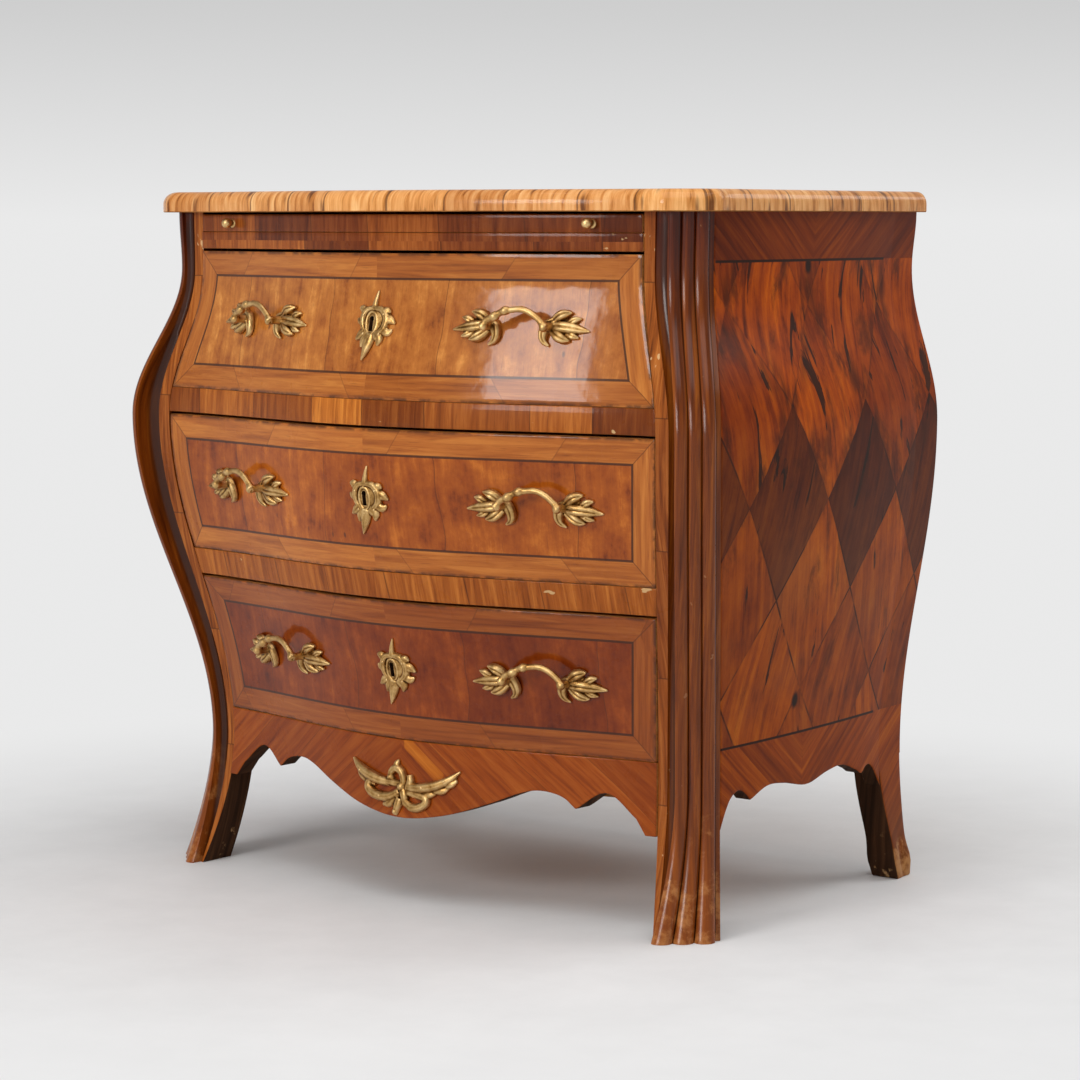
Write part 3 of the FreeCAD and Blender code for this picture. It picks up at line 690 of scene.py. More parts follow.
def bevelSharp(bm, width, angle, segments, keep=None):
    edges = [e for e in bm.edges if len(e.link_faces) == 2 and e.calc_face_angle(0) > math.radians(angle)]
    edges = [e for e in edges if keep is None or keep((e.verts[0].co + e.verts[1].co) / 2 / mm)]
    bmesh.ops.bevel(bm, geom=edges, offset=width * mm, segments=segments, profile=0.5, affect="EDGES",
                    clamp_overlap=True)


def softenEdges(mesh, width=0, angle=38, keep=None):
    bm = bmesh.new()
    bm.from_mesh(mesh)
    bmesh.ops.remove_doubles(bm, verts=bm.verts, dist=1e-6)
    bmesh.ops.recalc_face_normals(bm, faces=bm.faces)
    if width:
        bevelSharp(bm, width, angle, 3, keep)
    bm.to_mesh(mesh)
    bm.free()
    mesh.update()


def finishPiece(name, mesh, mats, body, nodes, smooth=38):
    mesh.polygons.foreach_set("use_smooth", [True] * len(mesh.polygons))
    mesh.set_sharp_from_angle(angle=math.radians(smooth))
    chosen = [min(face.material_index, len(mats) - 1) for face in mesh.polygons]
    mesh.materials.clear()               # this also clears the faces' choices
    for mat in mats:
        mesh.materials.append(mat)
    mesh.polygons.foreach_set("material_index", chosen)
    piece = bpy.data.objects.new(name, mesh)
    scene.collection.objects.link(piece)
    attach(piece, body)
    if nodes:
        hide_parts(*nodes)
    return piece


def mirrorMesh(mesh):
    twin = mesh.copy()
    bm = bmesh.new()
    bm.from_mesh(twin)
    for vert in bm.verts:
        vert.co.x = -vert.co.x
    bmesh.ops.reverse_faces(bm, faces=bm.faces)
    bm.to_mesh(twin)
    bm.free()
    twin.update()
    return twin


def finishPair(name, mesh, mats, node, smooth):       # the right piece and its mirrored twin
    for side, half in (("right", mesh), ("left", mirrorMesh(mesh))):
        finishPiece(name % side, half, mats, "carcass", [node % side], smooth)


def evaluated(mesh, setUp):            # a plain mesh from a mesh with modifiers
    helper = bpy.data.objects.new("helper", mesh)
    scene.collection.objects.link(helper)
    setUp(helper)
    graph = bpy.context.evaluated_depsgraph_get()
    result = bpy.data.meshes.new_from_object(helper.evaluated_get(graph), preserve_all_data_layers=True,
                                             depsgraph=graph)
    helper.modifiers.clear()
    bpy.data.objects.remove(helper)
    return result


def slab(cols, rows, front, back, skip=None):   # closed plate between two grids of points
    verts, faces, index = [], [], {}

    def point(i, j, side):
        key = (i, j, side)
        if key not in index:
            index[key] = len(verts)
            verts.append((back if side else front)(i, j))
        return index[key]

    cells = {(i, j) for i in range(cols - 1) for j in range(rows - 1) if not (skip and skip(i, j))}
    for i, j in sorted(cells):
        ring = ((i, j), (i + 1, j), (i + 1, j + 1), (i, j + 1))
        faces.append(tuple(point(*p, 0) for p in ring))
        faces.append(tuple(point(*p, 1) for p in reversed(ring)))
        for step, a, b in (((0, -1), 0, 1), ((1, 0), 1, 2), ((0, 1), 2, 3), ((-1, 0), 3, 0)):
            if (i + step[0], j + step[1]) not in cells:
                faces.append((point(*ring[b], 0), point(*ring[a], 0), point(*ring[a], 1), point(*ring[b], 1)))
    return verts, faces


def skin(rows, around, lastCap=True):  # faces round rows of points, closed at the ends
    faces = []
    for j in range(rows - 1):
        for i in range(around):
            k = (i + 1) % around
            faces.append((j * around + i, j * around + k, (j + 1) * around + k, (j + 1) * around + i))
    faces.append(tuple(reversed(range(around))))
    if lastCap:
        faces.append(tuple((rows - 1) * around + i for i in range(around)))
    return faces


def circle(count):
    return [2 * math.pi * a / count for a in range(count)]


def cutThrough(mesh, outline, near, far):        # a straight cut along Y, with an outline of (x, z) points
    verts = [(x, y, z) for y in (near, far) for x, z in outline]
    cutter = bpy.data.objects.new("cutter", newMesh("cutter", verts, skin(2, len(outline))))
    softenEdges(cutter.data)
    scene.collection.objects.link(cutter)

    def setUp(helper):
        tool = helper.modifiers.new("cut", "BOOLEAN")
        tool.operation = "DIFFERENCE"
        tool.solver = "EXACT"
        tool.object = cutter

    result = evaluated(mesh, setUp)
    bpy.data.objects.remove(cutter)
    return result


# geometry node trees
def startTree(name, sizes):            # a named input for each size, and one for the material
    tree = bpy.data.node_groups.new(name, "GeometryNodeTree")
    kinds = {"Geometry": "NodeSocketGeometry"}
    for key, value in sizes.items():
        kinds[key] = "NodeSocketInt" if isinstance(value, int) else "NodeSocketFloat"
    kinds["Material"] = "NodeSocketMaterial"
    for key, kind in kinds.items():
        socket = tree.interface.new_socket(key, in_out="INPUT", socket_type=kind)
        if key in sizes:
            socket.default_value = sizes[key]
    tree.interface.new_socket("Geometry", in_out="OUTPUT", socket_type="NodeSocketGeometry")
    start = tree.nodes.new("NodeGroupInput")
    return tree, {key: Wire(tree, start.outputs[key]) for key in kinds}


def named(tree, name, kind):           # a value kept on the points
    node = tree.nodes.new("GeometryNodeInputNamedAttribute")
    node.data_type = kind
    node.inputs["Name"].default_value = name
    return Wire(tree, node.outputs["Attribute"])


def endTree(tree, last, mat):
    real = addNode(tree, "GeometryNodeRealizeInstances", {0: Wire(tree, last.outputs[0])})
    paint = addNode(tree, "GeometryNodeSetMaterial",
                    {"Geometry": Wire(tree, real.outputs[0]), "Material": mat})
    end = tree.nodes.new("NodeGroupOutput")
    tree.links.new(paint.outputs[0], end.inputs[0])


def setInputs(helper, tree, values):
    modifier = helper.modifiers.new("shape", "NODES")
    modifier.node_group = tree
    for item in tree.interface.items_tree:
        if item.in_out == "INPUT" and item.name in values:
            modifier[item.identifier] = values[item.name]


# the swelling front: a flat plate goes in, the tree bows and swells it
def bombeTree():
    belly, waist, shares = chest["front"]
    tree, size = startTree("bombeFront", {
        "Bow": chest["bow"] * mm, "Bow Half": chest["bowHalf"] * mm, "Bow Round": chest["bowRound"],
        "Belly": -belly * mm, "Waist": -waist * mm, "Neck Share": shares[0], "Toe Share": shares[2],
        "Neck Height": chest["neck"] * mm, "Belly Height": chest["belly"] * mm,
        "Waist Height": chest["waist"] * mm, "Toe Power": chest["toePower"]})
    spot = tree.nodes.new("GeometryNodeInputPosition")
    split = addNode(tree, "ShaderNodeSeparateXYZ", {0: Wire(tree, spot.outputs[0])})
    x, y, z = [Wire(tree, socket) for socket in split.outputs]

    def easing(value):
        return (value * math.pi).calc("COSINE") * -0.5 + 0.5

    def clipped(value):
        return least(most(value, 0), 1)

    t = clipped(abs(x) / size["Bow Half"])
    bowed = size["Bow"] * (size["Bow Round"] * (1 - t * t) + (1 - size["Bow Round"]) * easing(1 - t))
    above = clipped((z - size["Belly Height"]) / (size["Neck Height"] - size["Belly Height"]))
    below = clipped((z - size["Waist Height"]) / (size["Belly Height"] - size["Waist Height"]))
    toe = clipped((size["Waist Height"] - z) / size["Waist Height"]).calc("POWER", size["Toe Power"])
    share = (easing(above) * (size["Neck Share"] - 1) + 1) * easing(below) + size["Toe Share"] * toe
    reach = (size["Belly"] - size["Waist"]) * share + size["Waist"]
    move = (reach + bowed) * (named(tree, "follow", "FLOAT") * -1)
    place = addNode(tree, "GeometryNodeSetPosition",
                    {"Geometry": size["Geometry"], "Offset": joinAxes(0, move, 0)})
    endTree(tree, place, size["Material"])
    return tree


bombe = bombeTree()


def bombeMesh(name, verts, faces, layers, mat):
    flat = newMesh(name, verts, faces, layers)
    return evaluated(flat, lambda helper: setInputs(helper, bombe, {"Material": mat}))


ground = {"behind": 0.35, "level": 0.85, "endways": 0.93}       # how far a face has to turn to be unseen


def paintBack(mesh):                   # unseen faces of a veneered piece show its ground
    for face in mesh.polygons:
        n = face.normal
        unseen = n.y > ground["behind"] or abs(n.z) > ground["level"] or abs(n.x) > ground["endways"]
        face.material_index = 1 if unseen else 0


def openingHalf(z, gap):
    return edgeAt("opening", z) - gap


def columnAt(kind, value, inner, z, gap):        # a fixed place, or a share of the way to the opening
    if kind == "place":
        return value
    return math.copysign(inner + abs(value) * (openingHalf(z, gap) - inner), value)


# drawers
drawers = {
    "top": 735, "apronTop": 182, "rails": (19, 28, 30), "handleShare": (0.51, 0.51, 0.50),
    "spread": (183, 207, 182), "sideGap": 1.2, "topGap": 3, "rideGap": 0.3, "edge": 1.6,
    "lockHalf": 32, "lockDrop": 15, "lockStep": 0.4, "keyHalf": 3.6, "keyRise": 8.6,
    "rowStep": 5.5, "columnStep": 6, "middleHalf": 44, "sideColumns": 44, "softFrom": 40,
}
drawerHeight = (drawers["top"] - drawers["apronTop"] - sum(drawers["rails"])) / 3
rows = []
ceiling = drawers["top"]
for rail, handleShare, apart in zip(drawers["rails"], drawers["handleShare"], drawers["spread"]):
    top = ceiling - rail
    low = top - drawerHeight
    rows.append({"rail": (top, ceiling), "top": top, "low": low, "handle": low + drawerHeight * handleShare,
                 "spread": apart})
    ceiling = low


def stations(low, high, step, extra, clear=0.35):        # even marks that leave room for the extra ones
    count = max(1, round((high - low) / step))
    marks = [low + (high - low) * k / count for k in range(count + 1)]
    marks = [m for m in marks if all(abs(m - e) > step * clear for e in extra) or m in (low, high)]
    return sorted(marks + [e for e in extra if low < e < high])


def lockSeat(row):                     # the lower end of the lock's bed, and its flat face
    low = row["handle"] - drawers["lockDrop"]
    return low, min(frontAt(0, low), frontAt(0, row["top"] - drawers["topGap"])) + chest["thick"]


def drawerFront(number, row):
    low, high = row["low"] + drawers["rideGap"], row["top"] - drawers["topGap"]
    half, step, keyHalf = drawers["lockHalf"], drawers["lockStep"], drawers["keyHalf"]
    inner, gap = drawers["middleHalf"], drawers["sideGap"]
    lockLow, seat = lockSeat(row)
    keyLow, keyHigh = row["handle"] - drawers["keyRise"], row["handle"] + drawers["keyRise"]
    zs = stations(low, high, drawers["rowStep"], [keyLow, keyHigh, lockLow - step, lockLow])
    middle = stations(-inner, inner, drawers["columnStep"],
                      [-half - step, -half, -keyHalf, keyHalf, half, half + step])
    shares = [k / drawers["sideColumns"] for k in range(1, drawers["sideColumns"] + 1)]
    columns = [("share", -s) for s in reversed(shares)] + [("place", m) for m in middle]
    columns += [("share", s) for s in shares]
    follow, fromSide, fromEdge = [], [], []
    near = 0.01

    def note(i, j, y, follows):
        z = zs[j]
        x = columnAt(*columns[i], inner, z, gap)
        follow.append(follows)
        fromSide.append((openingHalf(z, gap) - abs(x)) * mm)
        fromEdge.append(min(z - low, high - z) * mm)
        return (x, y, z)

    def front(i, j):
        return note(i, j, 0, 1)

    def back(i, j):
        x = columnAt(*columns[i], inner, zs[j], gap)
        if abs(x) <= half + near and zs[j] >= lockLow - near:
            return note(i, j, seat, 0)
        return note(i, j, chest["thick"], 1)

    def keyhole(i, j):
        x = sum(columnAt(*column, inner, zs[j], gap) for column in columns[i:i + 2]) / 2
        return abs(x) < keyHalf and keyLow < (zs[j] + zs[j + 1]) / 2 < keyHigh

    verts, faces = slab(len(columns), len(zs), front, back, keyhole)
    name = "drawer_%d_front" % number
    layers = {"follow": follow, "fromSide": fromSide, "fromEdge": fromEdge}
    mesh = bombeMesh(name, verts, faces, layers, wood["drawer"])
    softenEdges(mesh, drawers["edge"], 50,
                lambda p: abs(p.x) > drawers["softFrom"] or abs(p.z - high) < 1 or abs(p.z - low) < 1)
    paintBack(mesh)
    for face in mesh.polygons:                       # the keyhole is dark inside: its walls get the near-black bare wood, painted shade inside the hole
        across, up = face.center.x / mm, face.center.z / mm - row["handle"]
        if abs(across) < keyHalf + 0.1 and abs(up) < drawers["keyRise"] + 0.1 and face.normal.y > -0.5:
            face.material_index = 2
    mats = [wood["drawer"], wood["pine"], wood["bareAndShade"]]
    finishPiece("veneered_" + name, mesh, mats, "drawer_%d" % number, [name])


for number, row in enumerate(rows, 1):
    drawerFront(number, row)
print("drawer fronts ready")

# rails and slide front
rails = {"names": ("slide_rail", "upper_drawer_rail", "lower_drawer_rail"),
         "gap": 0.2, "back": -130, "edge": 1.0, "columns": 130, "rows": 5,
         "boltHalf": 16, "boltThick": 4, "boltRise": 9, "boltDrop": 5, "lockDepth": 14}
slide = {"low": 735.3, "high": 754.5, "sideGap": 1.2, "edge": 1.2, "knobAt": 258, "knobAround": 28,
         # radius and depth of the turned knob
         "knob": [(0, -15), (2.2, -14.8), (4.2, -13.4), (5.6, -11), (5.9, -9), (5.4, -6.6), (3.9, -4.6),
                  (2.6, -3.6), (2.4, -2.6), (3.6, -2.0), (5.0, -1.4), (5.4, -0.6), (5.2, 0.4), (0, 0.4)]}


def frontStrip(name, low, high, gap, backY, mat):        # a flat back at backY, or one that follows the front
    columns, rowCount = rails["columns"], rails["rows"]
    zs = [low + (high - low) * k / (rowCount - 1) for k in range(rowCount)]
    follow = []

    def at(i, j, y, follows):
        follow.append(follows)
        return (openingHalf(zs[j], gap) * (2 * i / (columns - 1) - 1), y, zs[j])

    def back(i, j):
        return at(i, j, chest["thick"], 1) if backY is None else at(i, j, backY, 0)

    verts, faces = slab(columns, rowCount, lambda i, j: at(i, j, 0, 1), back)
    return bombeMesh(name, verts, faces, {"follow": follow}, mat)


mats = [wood["rail"], wood["pine"]]
for name, row in zip(rails["names"], rows):
    mesh = frontStrip(name, row["rail"][0], row["rail"][1], rails["gap"], rails["back"], wood["rail"])
    softenEdges(mesh, rails["edge"], 50)
    bolt = lockSeat(row)[1] + rails["lockDepth"] / 2
    low, high, half = row["top"] - rails["boltDrop"], row["top"] + rails["boltRise"], rails["boltHalf"]
    mesh = cutThrough(mesh, [(-half, low), (half, low), (half, high), (-half, high)],
                      bolt - rails["boltThick"], bolt + rails["boltThick"])
    paintBack(mesh)
    finishPiece("veneered_" + name, mesh, mats, "carcass", [name])

mesh = frontStrip("slide_front", slide["low"], slide["high"], slide["sideGap"], None, wood["rail"])
softenEdges(mesh, slide["edge"], 50)
paintBack(mesh)
finishPiece("veneered_slide_front", mesh, mats, "brushing_slide", ["slide_front"])

# apron: shares of the half width and of the drop, from the middle out
apron = {
    "top": 182, "low": 96, "gap": 0.2, "edge": 1.4, "rows": 15, "endColumns": 4,
    "middle": ((0, 1), (0.19, 0.91), (0.36, 0.71), (0.48, 0.535), (0.555, 0.48), (0.635, 0.53), (0.69, 0.67)),
    "arch": ((0.69, 0.67), (0.80, 0.44), (0.915, 0.72)), "foot": ((0.915, 0.72), (0.955, 0.91)),
    "counts": (40, 16, 5),
}


def apronOutline():                    # the right half; the middle curve is spread over both halves
    middleCount, archCount, footCount = apron["counts"]
    middle = [(-x, z) for x, z in reversed(apron["middle"][1:])] + list(apron["middle"])
    line = [p for p in spread(middle, middleCount * 2 - 1) if p[0] > -1e-6]
    line += spread(apron["arch"], archCount)[1:] + spread(apron["foot"], footCount)[1:]
    half, drop = edgeAt("opening", apron["low"]), apron["top"] - apron["low"]
    return [(p[0] * half, apron["top"] - drop * p[1]) for p in line]


def frontApron():
    edge = apronOutline()
    lastX, lastZ = edge[-1]
    right = [("place", x, z) for x, z in edge]
    right += [("share", k / apron["endColumns"], lastZ) for k in range(1, apron["endColumns"] + 1)]
    columns = [(kind, -value, z) for kind, value, z in reversed(right[1:])] + right
    follow = []

    def at(i, j, y):
        kind, value, low = columns[i]
        z = low + (apron["top"] - low) * j / (apron["rows"] - 1)
        follow.append(1)
        return (columnAt(kind, value, lastX, z, apron["gap"]), y, z)

    verts, faces = slab(len(columns), apron["rows"], lambda i, j: at(i, j, 0),
                        lambda i, j: at(i, j, chest["thick"]))
    mesh = bombeMesh("front_apron", verts, faces, {"follow": follow}, wood["apron"])
    softenEdges(mesh, apron["edge"], 55)
    paintBack(mesh)
    for face in mesh.polygons:                       # the shaped lower edge is bare wood, made near-black as painted shade on its downward faces
        if face.normal.z < -0.2:
            face.material_index = 2 if face.normal.y > -0.6 else 0
    mats = [wood["apron"], wood["pine"], wood["bareAndShade"]]
    finishPiece("veneered_front_apron", mesh, mats, "carcass", ["front_apron"])


frontApron()
print("rails, slide and apron ready")

# corner posts
post = {
    "cant": 30, "cantGrowth": 18, "reeds": 3, "reedRise": 3.5, "reedGrowth": 5, "reedSteps": 12,
    "strip": 0.45, "stripSteps": 5, "groove": 0.72, "grooveDepth": 6,
    "bellyDepth": 4, "bellyShares": (0.2, 0.2, 0),
    "margin": 9, "sideGroove": 4, "sideHollow": ((0.8, 0.3), (1.0, 0.5), (0.6, 0.75)),      # depth, way back
    "levels": 116, "edge": 3.5, "bareAndShadeBelow": 190, "bareAndShadeNear": 3,
}
diagonal = Vector((0.7071, -0.7071))


def cantAt(z):
    return post["cant"] + post["cantGrowth"] * toeFlare(z)


def postBack(z):
    return edgeAt("corner", z) + cantAt(z) + post["margin"]


def bend(a, b, c, shares):             # points on a curve from a to c that leans towards b
    return [a * (1 - t) ** 2 + b * 2 * t * (1 - t) + c * t * t for t in shares]


def postSection(z):
    x0, y0 = edgeAt("opening", z), edgeAt("front", z)
    side, back, cant = edgeAt("side", z), postBack(z), cantAt(z)
    startReed = Vector((side - cant, edgeAt("corner", z)))
    endReed = Vector((side, edgeAt("corner", z) + cant))
    stripEnd = Vector((x0 + (startReed.x - x0) * post["strip"], y0))
    deep = post["grooveDepth"] + post["bellyDepth"] * max(0, swell(z, post["bellyShares"]))
    groove = Vector((x0 + (startReed.x - x0) * post["groove"], y0 + deep))
    steps = post["stripSteps"]
    line = [Vector((x0, y0)).lerp(stripEnd, k / steps) for k in range(steps + 1)]
    line += bend(stripEnd, stripEnd + Vector((0, deep * 0.5)), groove, (0.2, 0.45, 0.7, 1.0))
    line += bend(groove, Vector((startReed.x - 0.5, groove.y - 0.5)), startReed, (0.3, 0.6, 0.85))
    # round reeds side by side on the cut corner
    rise = post["reedRise"] + post["reedGrowth"] * toeFlare(z)
    halfReed = (endReed - startReed).length / post["reeds"] / 2
    radius = (halfReed ** 2 + rise ** 2) / (2 * rise)
    swing = math.asin(min(1, halfReed / radius))
    for k in range(post["reeds"]):
        middle = startReed.lerp(endReed, (k + 0.5) / post["reeds"])
        for s in range(post["reedSteps"]):
            angle = swing * (2 * s / post["reedSteps"] - 1)
            across = (endReed - startReed).normalized() * radius * math.sin(angle)
            line.append(middle + across + diagonal * (radius * math.cos(angle) - radius + rise))
    line.append(endReed)
    for depth, share in post["sideHollow"]:
        line.append(Vector((side - post["sideGroove"] * depth, endReed.y * (1 - share) + back * share)))
    line += [Vector((side, back)).lerp(Vector((x0, back)), k / 3) for k in range(4)]
    line += [Vector((x0, back)).lerp(Vector((x0, y0)), k / 3) for k in (1, 2)]
    return line


def loft(sections, heights):           # rings of points joined into a closed skin
    verts = [(p[0], p[1], z) for ring, z in zip(sections, heights) for p in ring]
    return verts, skin(len(heights), len(sections[0]))


def evenHeights(count):
    return [chest["height"] * k / (count - 1) for k in range(count)]


def frontPosts():
    heights = evenHeights(post["levels"])
    verts, faces = loft([postSection(z) for z in heights], heights)
    count = len(verts) // len(heights)
    walls = len(faces) - 2                           # the last two faces are the ends
    onStrip = [int(k % count < post["stripSteps"] and k < walls) for k in range(len(faces))]
    right = newMesh("front_right_post", verts, faces, None, onStrip)
    softenEdges(right, post["edge"], 50, lambda p: p.z < 1)
    for face in right.polygons:                      # the inner and rear faces of the foot are bare wood, made near-black as painted shade
        spot = face.center / mm
        inner = face.normal.x < -0.5 and spot.x < edgeAt("opening", spot.z) + post["bareAndShadeNear"]
        behind = face.normal.y > 0.75 and spot.y > postBack(spot.z) - post["bareAndShadeNear"]
        if spot.z < post["bareAndShadeBelow"] and (inner or behind):
            face.material_index = 2
    mats = [wood["post"], wood["strip"], wood["bareAndShade"]]
    finishPair("reeded_front_%s_post", right, mats, "front_%s_post", 50)


frontPosts()

# sides and rear posts: the sides' lower edge in shares of the depth and in scallops above edgeHeight
sides = {
    "thick": 20, "bow": 6, "edgeHeight": 140, "scallop": 9, "edge": 1.4, "rows": 92, "gap": 0.2,
    "softBelow": 750, "counts": (16, 40, 16),
    "bracket": ((0, -3.4), (0.03, -1.2), (0.06, 0.3), (0.10, 1.0), (0.135, 0.5), (0.165, -0.5)),
    "valance": ((0.165, -0.5), (0.265, 0.7), (0.37, 0.45), (0.5, -0.4), (0.63, 0.45), (0.735, 0.7),
                (0.835, -0.5)),
    "rearBracket": ((0.835, -0.5), (0.87, -1.1), (0.90, -0.4), (0.93, -0.3), (0.965, -1.4), (1, -3.4)),
}
rear = {
    "width": 30, "depth": 52, "flare": 5, "rabbet": 12, "boardThick": 14, "edge": 2.0, "taper": 20,
    "toe": 5, "toeAt": 20, "toeSpan": 16, "cleft": 3.5, "cleftSpan": 1.1, "levels": 90, "steps": 8,
    "groundAbove": 200, "bareAndShadeBelow": 180,
}
rearFront = chest["back"] - rear["depth"]


def sideEdge():
    line = []
    for key, count in zip(("bracket", "valance", "rearBracket"), sides["counts"]):
        line = line[:-1] + spread(sides[key], count)
    return [(p.x, sides["edgeHeight"] + sides["scallop"] * p.y) for p in line]


def sidePanels():
    edge = sideEdge()

    def at(i, j, inward):
        share, low = edge[i]
        z = low + (chest["height"] - low) * j / (sides["rows"] - 1)
        start = postBack(z) + sides["gap"]
        flare = (edgeAt("rear", z) + rear["flare"] - edgeAt("side", z)) * share
        x = edgeAt("side", z) + flare + sides["bow"] * 4 * share * (1 - share)
        return (x - inward, start + (rearFront - start) * share, z)

    verts, faces = slab(len(edge), sides["rows"], lambda i, j: at(i, j, 0),
                        lambda i, j: at(i, j, sides["thick"]))
    right = newMesh("right_side_panel", verts, faces)
    softenEdges(right, sides["edge"], 55, lambda p: p.y < rearFront - 2 and p.z < sides["softBelow"])
    for face in right.polygons:
        face.material_index = 1 if face.normal.x < -0.5 else 0
        # downward faces of the shaped lower edge get the near-black bare wood: bare end grain and painted
        # shade
        if face.normal.z < -0.35 and face.normal.x < 0.6:
            face.material_index = 2
    mats = [wood["side"], wood["pine"], wood["bareAndShade"]]
    finishPair("veneered_%s_side", right, mats, "%s_side_panel", 50)


def rearSection(z):
    step, behind = sides["edgeHeight"], chest["back"]
    x = edgeAt("rear", z)
    inner = x - rear["width"]
    swelled = rear["toe"] * math.exp(-((z - rear["toeAt"]) / rear["toeSpan"]) ** 2)     # the small toe
    near = rearFront + rear["taper"] * ease(min(max((step - z) / step, 0), 1)) - swelled * 1.2
    start, end = Vector((x + rear["flare"] + swelled * 0.6, near)), Vector((x + swelled, behind))
    outer = [start.lerp(end, k / rear["steps"]) for k in range(rear["steps"] + 1)]
    for k, p in enumerate(outer):                    # a cleft between the toes
        fromCleft = (k - rear["steps"] / 2) / rear["cleftSpan"]
        p.x -= rear["cleft"] * swelled / rear["toe"] * math.exp(-fromCleft ** 2)
    if z > step:
        boardFront = behind - rear["boardThick"]
        groove = [(x - rear["rabbet"], behind), (x - rear["rabbet"], boardFront), (inner, boardFront)]
    else:
        groove = [(inner + 2, behind), (inner + 1, behind), (inner, behind - 1)]
    return outer + [Vector(p) for p in groove + [(inner, near + 10), (inner, near)]]


def rearPosts():
    step = sides["edgeHeight"]
    heights = sorted(evenHeights(rear["levels"]) + [step - 0.1, step + 0.1])
    verts, faces = loft([rearSection(z) for z in heights], heights)
    right = newMesh("rear_right_post", verts, faces)
    softenEdges(right, rear["edge"], 50, lambda p: p.z < step - 2 and (p.y > rearFront + 1 or p.z < 100))
    for face in right.polygons:
        n, height = face.normal, face.center.z / mm
        face.material_index = 1 if n.x < -0.4 and height > rear["groundAbove"] else 0
        if height < rear["bareAndShadeBelow"] and (n.y < -0.4 or n.x < -0.4):
            face.material_index = 2          # bare wood on the foot's front and inner faces, made near-black as painted shade
        elif n.y > 0.8:
            face.material_index = 3          # plain behind
    mats = [wood["side"], wood["pine"], wood["bareAndShade"], wood["post"]]
    finishPair("veneered_rear_%s_post", right, mats, "rear_%s_post", 45)


sidePanels()
rearPosts()
print("posts and sides ready")

# tabletop
table = {"low": 757, "thick": 23, "over": 18, "rearOver": 13, "round": 14, "roundFrom": 9, "roundSteps": 8,
         "ear": 9, "cant": 30, "shorten": 0.586, "insets": (24, 36, 48, 60, 64),
         "frontSteps": 60, "jointSteps": 6, "earSteps": 14, "sideSteps": 24}


def rimLine(inset):
    h = chest["height"]
    over = table["over"] - inset
    xs = [edgeAt("opening", h) * k / table["frontSteps"] for k in range(table["frontSteps"] + 1)]
    right = [Vector((x, frontAt(x, h) - over)) for x in xs]
    leg = table["cant"] + table["over"] - table["shorten"] * inset       # the cut corner, shorter inwards
    sideX, frontY = edgeAt("side", h) + over, edgeAt("corner", h) - over
    startEar, endEar = Vector((sideX - leg, frontY)), Vector((sideX, frontY + leg))
    right += [right[-1].lerp(startEar, k / table["jointSteps"]) for k in range(1, table["jointSteps"])]
    bulge = diagonal * table["ear"] * leg / (table["cant"] + table["over"])
    for k in range(table["earSteps"] + 1):
        u = k / table["earSteps"]
        right.append(startEar.lerp(endEar, ease(u)) + bulge * math.sin(math.pi * u))
    corner = Vector((edgeAt("rear", h) + table["rearOver"] - inset, chest["back"]))
    right += [endEar.lerp(corner, k / table["sideSteps"]) for k in range(1, table["sideSteps"] + 1)]
    left = [Vector((-p.x, p.y)) for p in reversed(right[1:])]
    return left + right


def tabletop():
    base = rimLine(0)
    far = [0.0]
    for a, b in zip(base, base[1:]):
        far.append(far[-1] + (b - a).length)
    low, roundLow = table["low"], table["low"] + table["roundFrom"]
    rings = [(1.0, low), (0, low + 1.0), (0, low + 5), (0, roundLow)]        # inset and height, from below
    for k in range(1, table["roundSteps"] + 1):
        angle = math.pi / 2 * k / table["roundSteps"]
        rings.append((table["round"] * (1 - math.cos(angle)), roundLow + table["round"] * math.sin(angle)))
    rings += [(inset, low + table["thick"]) for inset in table["insets"]]
    verts = [(p.x, p.y, z) for inset, z in rings for p in rimLine(inset)]
    fromRim = [inset * mm for inset, z in rings for p in base]
    alongRim = [distance * mm for ring in rings for distance in far]
    mesh = newMesh("tabletop", verts, skin(len(rings), len(base)), {"fromRim": fromRim, "alongRim": alongRim})
    softenEdges(mesh)
    for face in mesh.polygons:
        face.material_index = 1 if face.normal.z < -0.6 else 0
    mats = [wood["top"], wood["pine"]]
    finishPiece("veneered_tabletop", mesh, mats, "carcass", ["tabletop"], 40)


tabletop()
print("tabletop ready")

# plain inner boards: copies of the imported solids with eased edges
boards = {
    "edge": 0.8, "lockEdge": 0.5, "keyway": 2.7, "drawer": ("left_side", "right_side", "back", "bottom"),
    "carcass": ("lower_back_board", "middle_back_board", "upper_back_board", "bottom_board",
                "slide_left_bearer", "slide_right_bearer", "drawer_1_left_runner", "drawer_1_right_runner",
                "drawer_2_left_runner", "drawer_2_right_runner"),
    "asPacked": ("glue_blocks", "drawer_guides", "drawer_stops"),
}


def easedCopy(node, mat, body, width=boards["edge"]):
    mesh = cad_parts[node].data.copy()
    bm = bmesh.new()
    bm.from_mesh(mesh)
    bmesh.ops.remove_doubles(bm, verts=bm.verts, dist=1e-6)
    bmesh.ops.dissolve_limit(bm, angle_limit=math.radians(1.5), verts=bm.verts, edges=bm.edges)
    bevelSharp(bm, width, 50, 2)
    bm.to_mesh(mesh)
    bm.free()
    return finishPiece("eased_" + node, mesh, [mat], body, [node], 40)


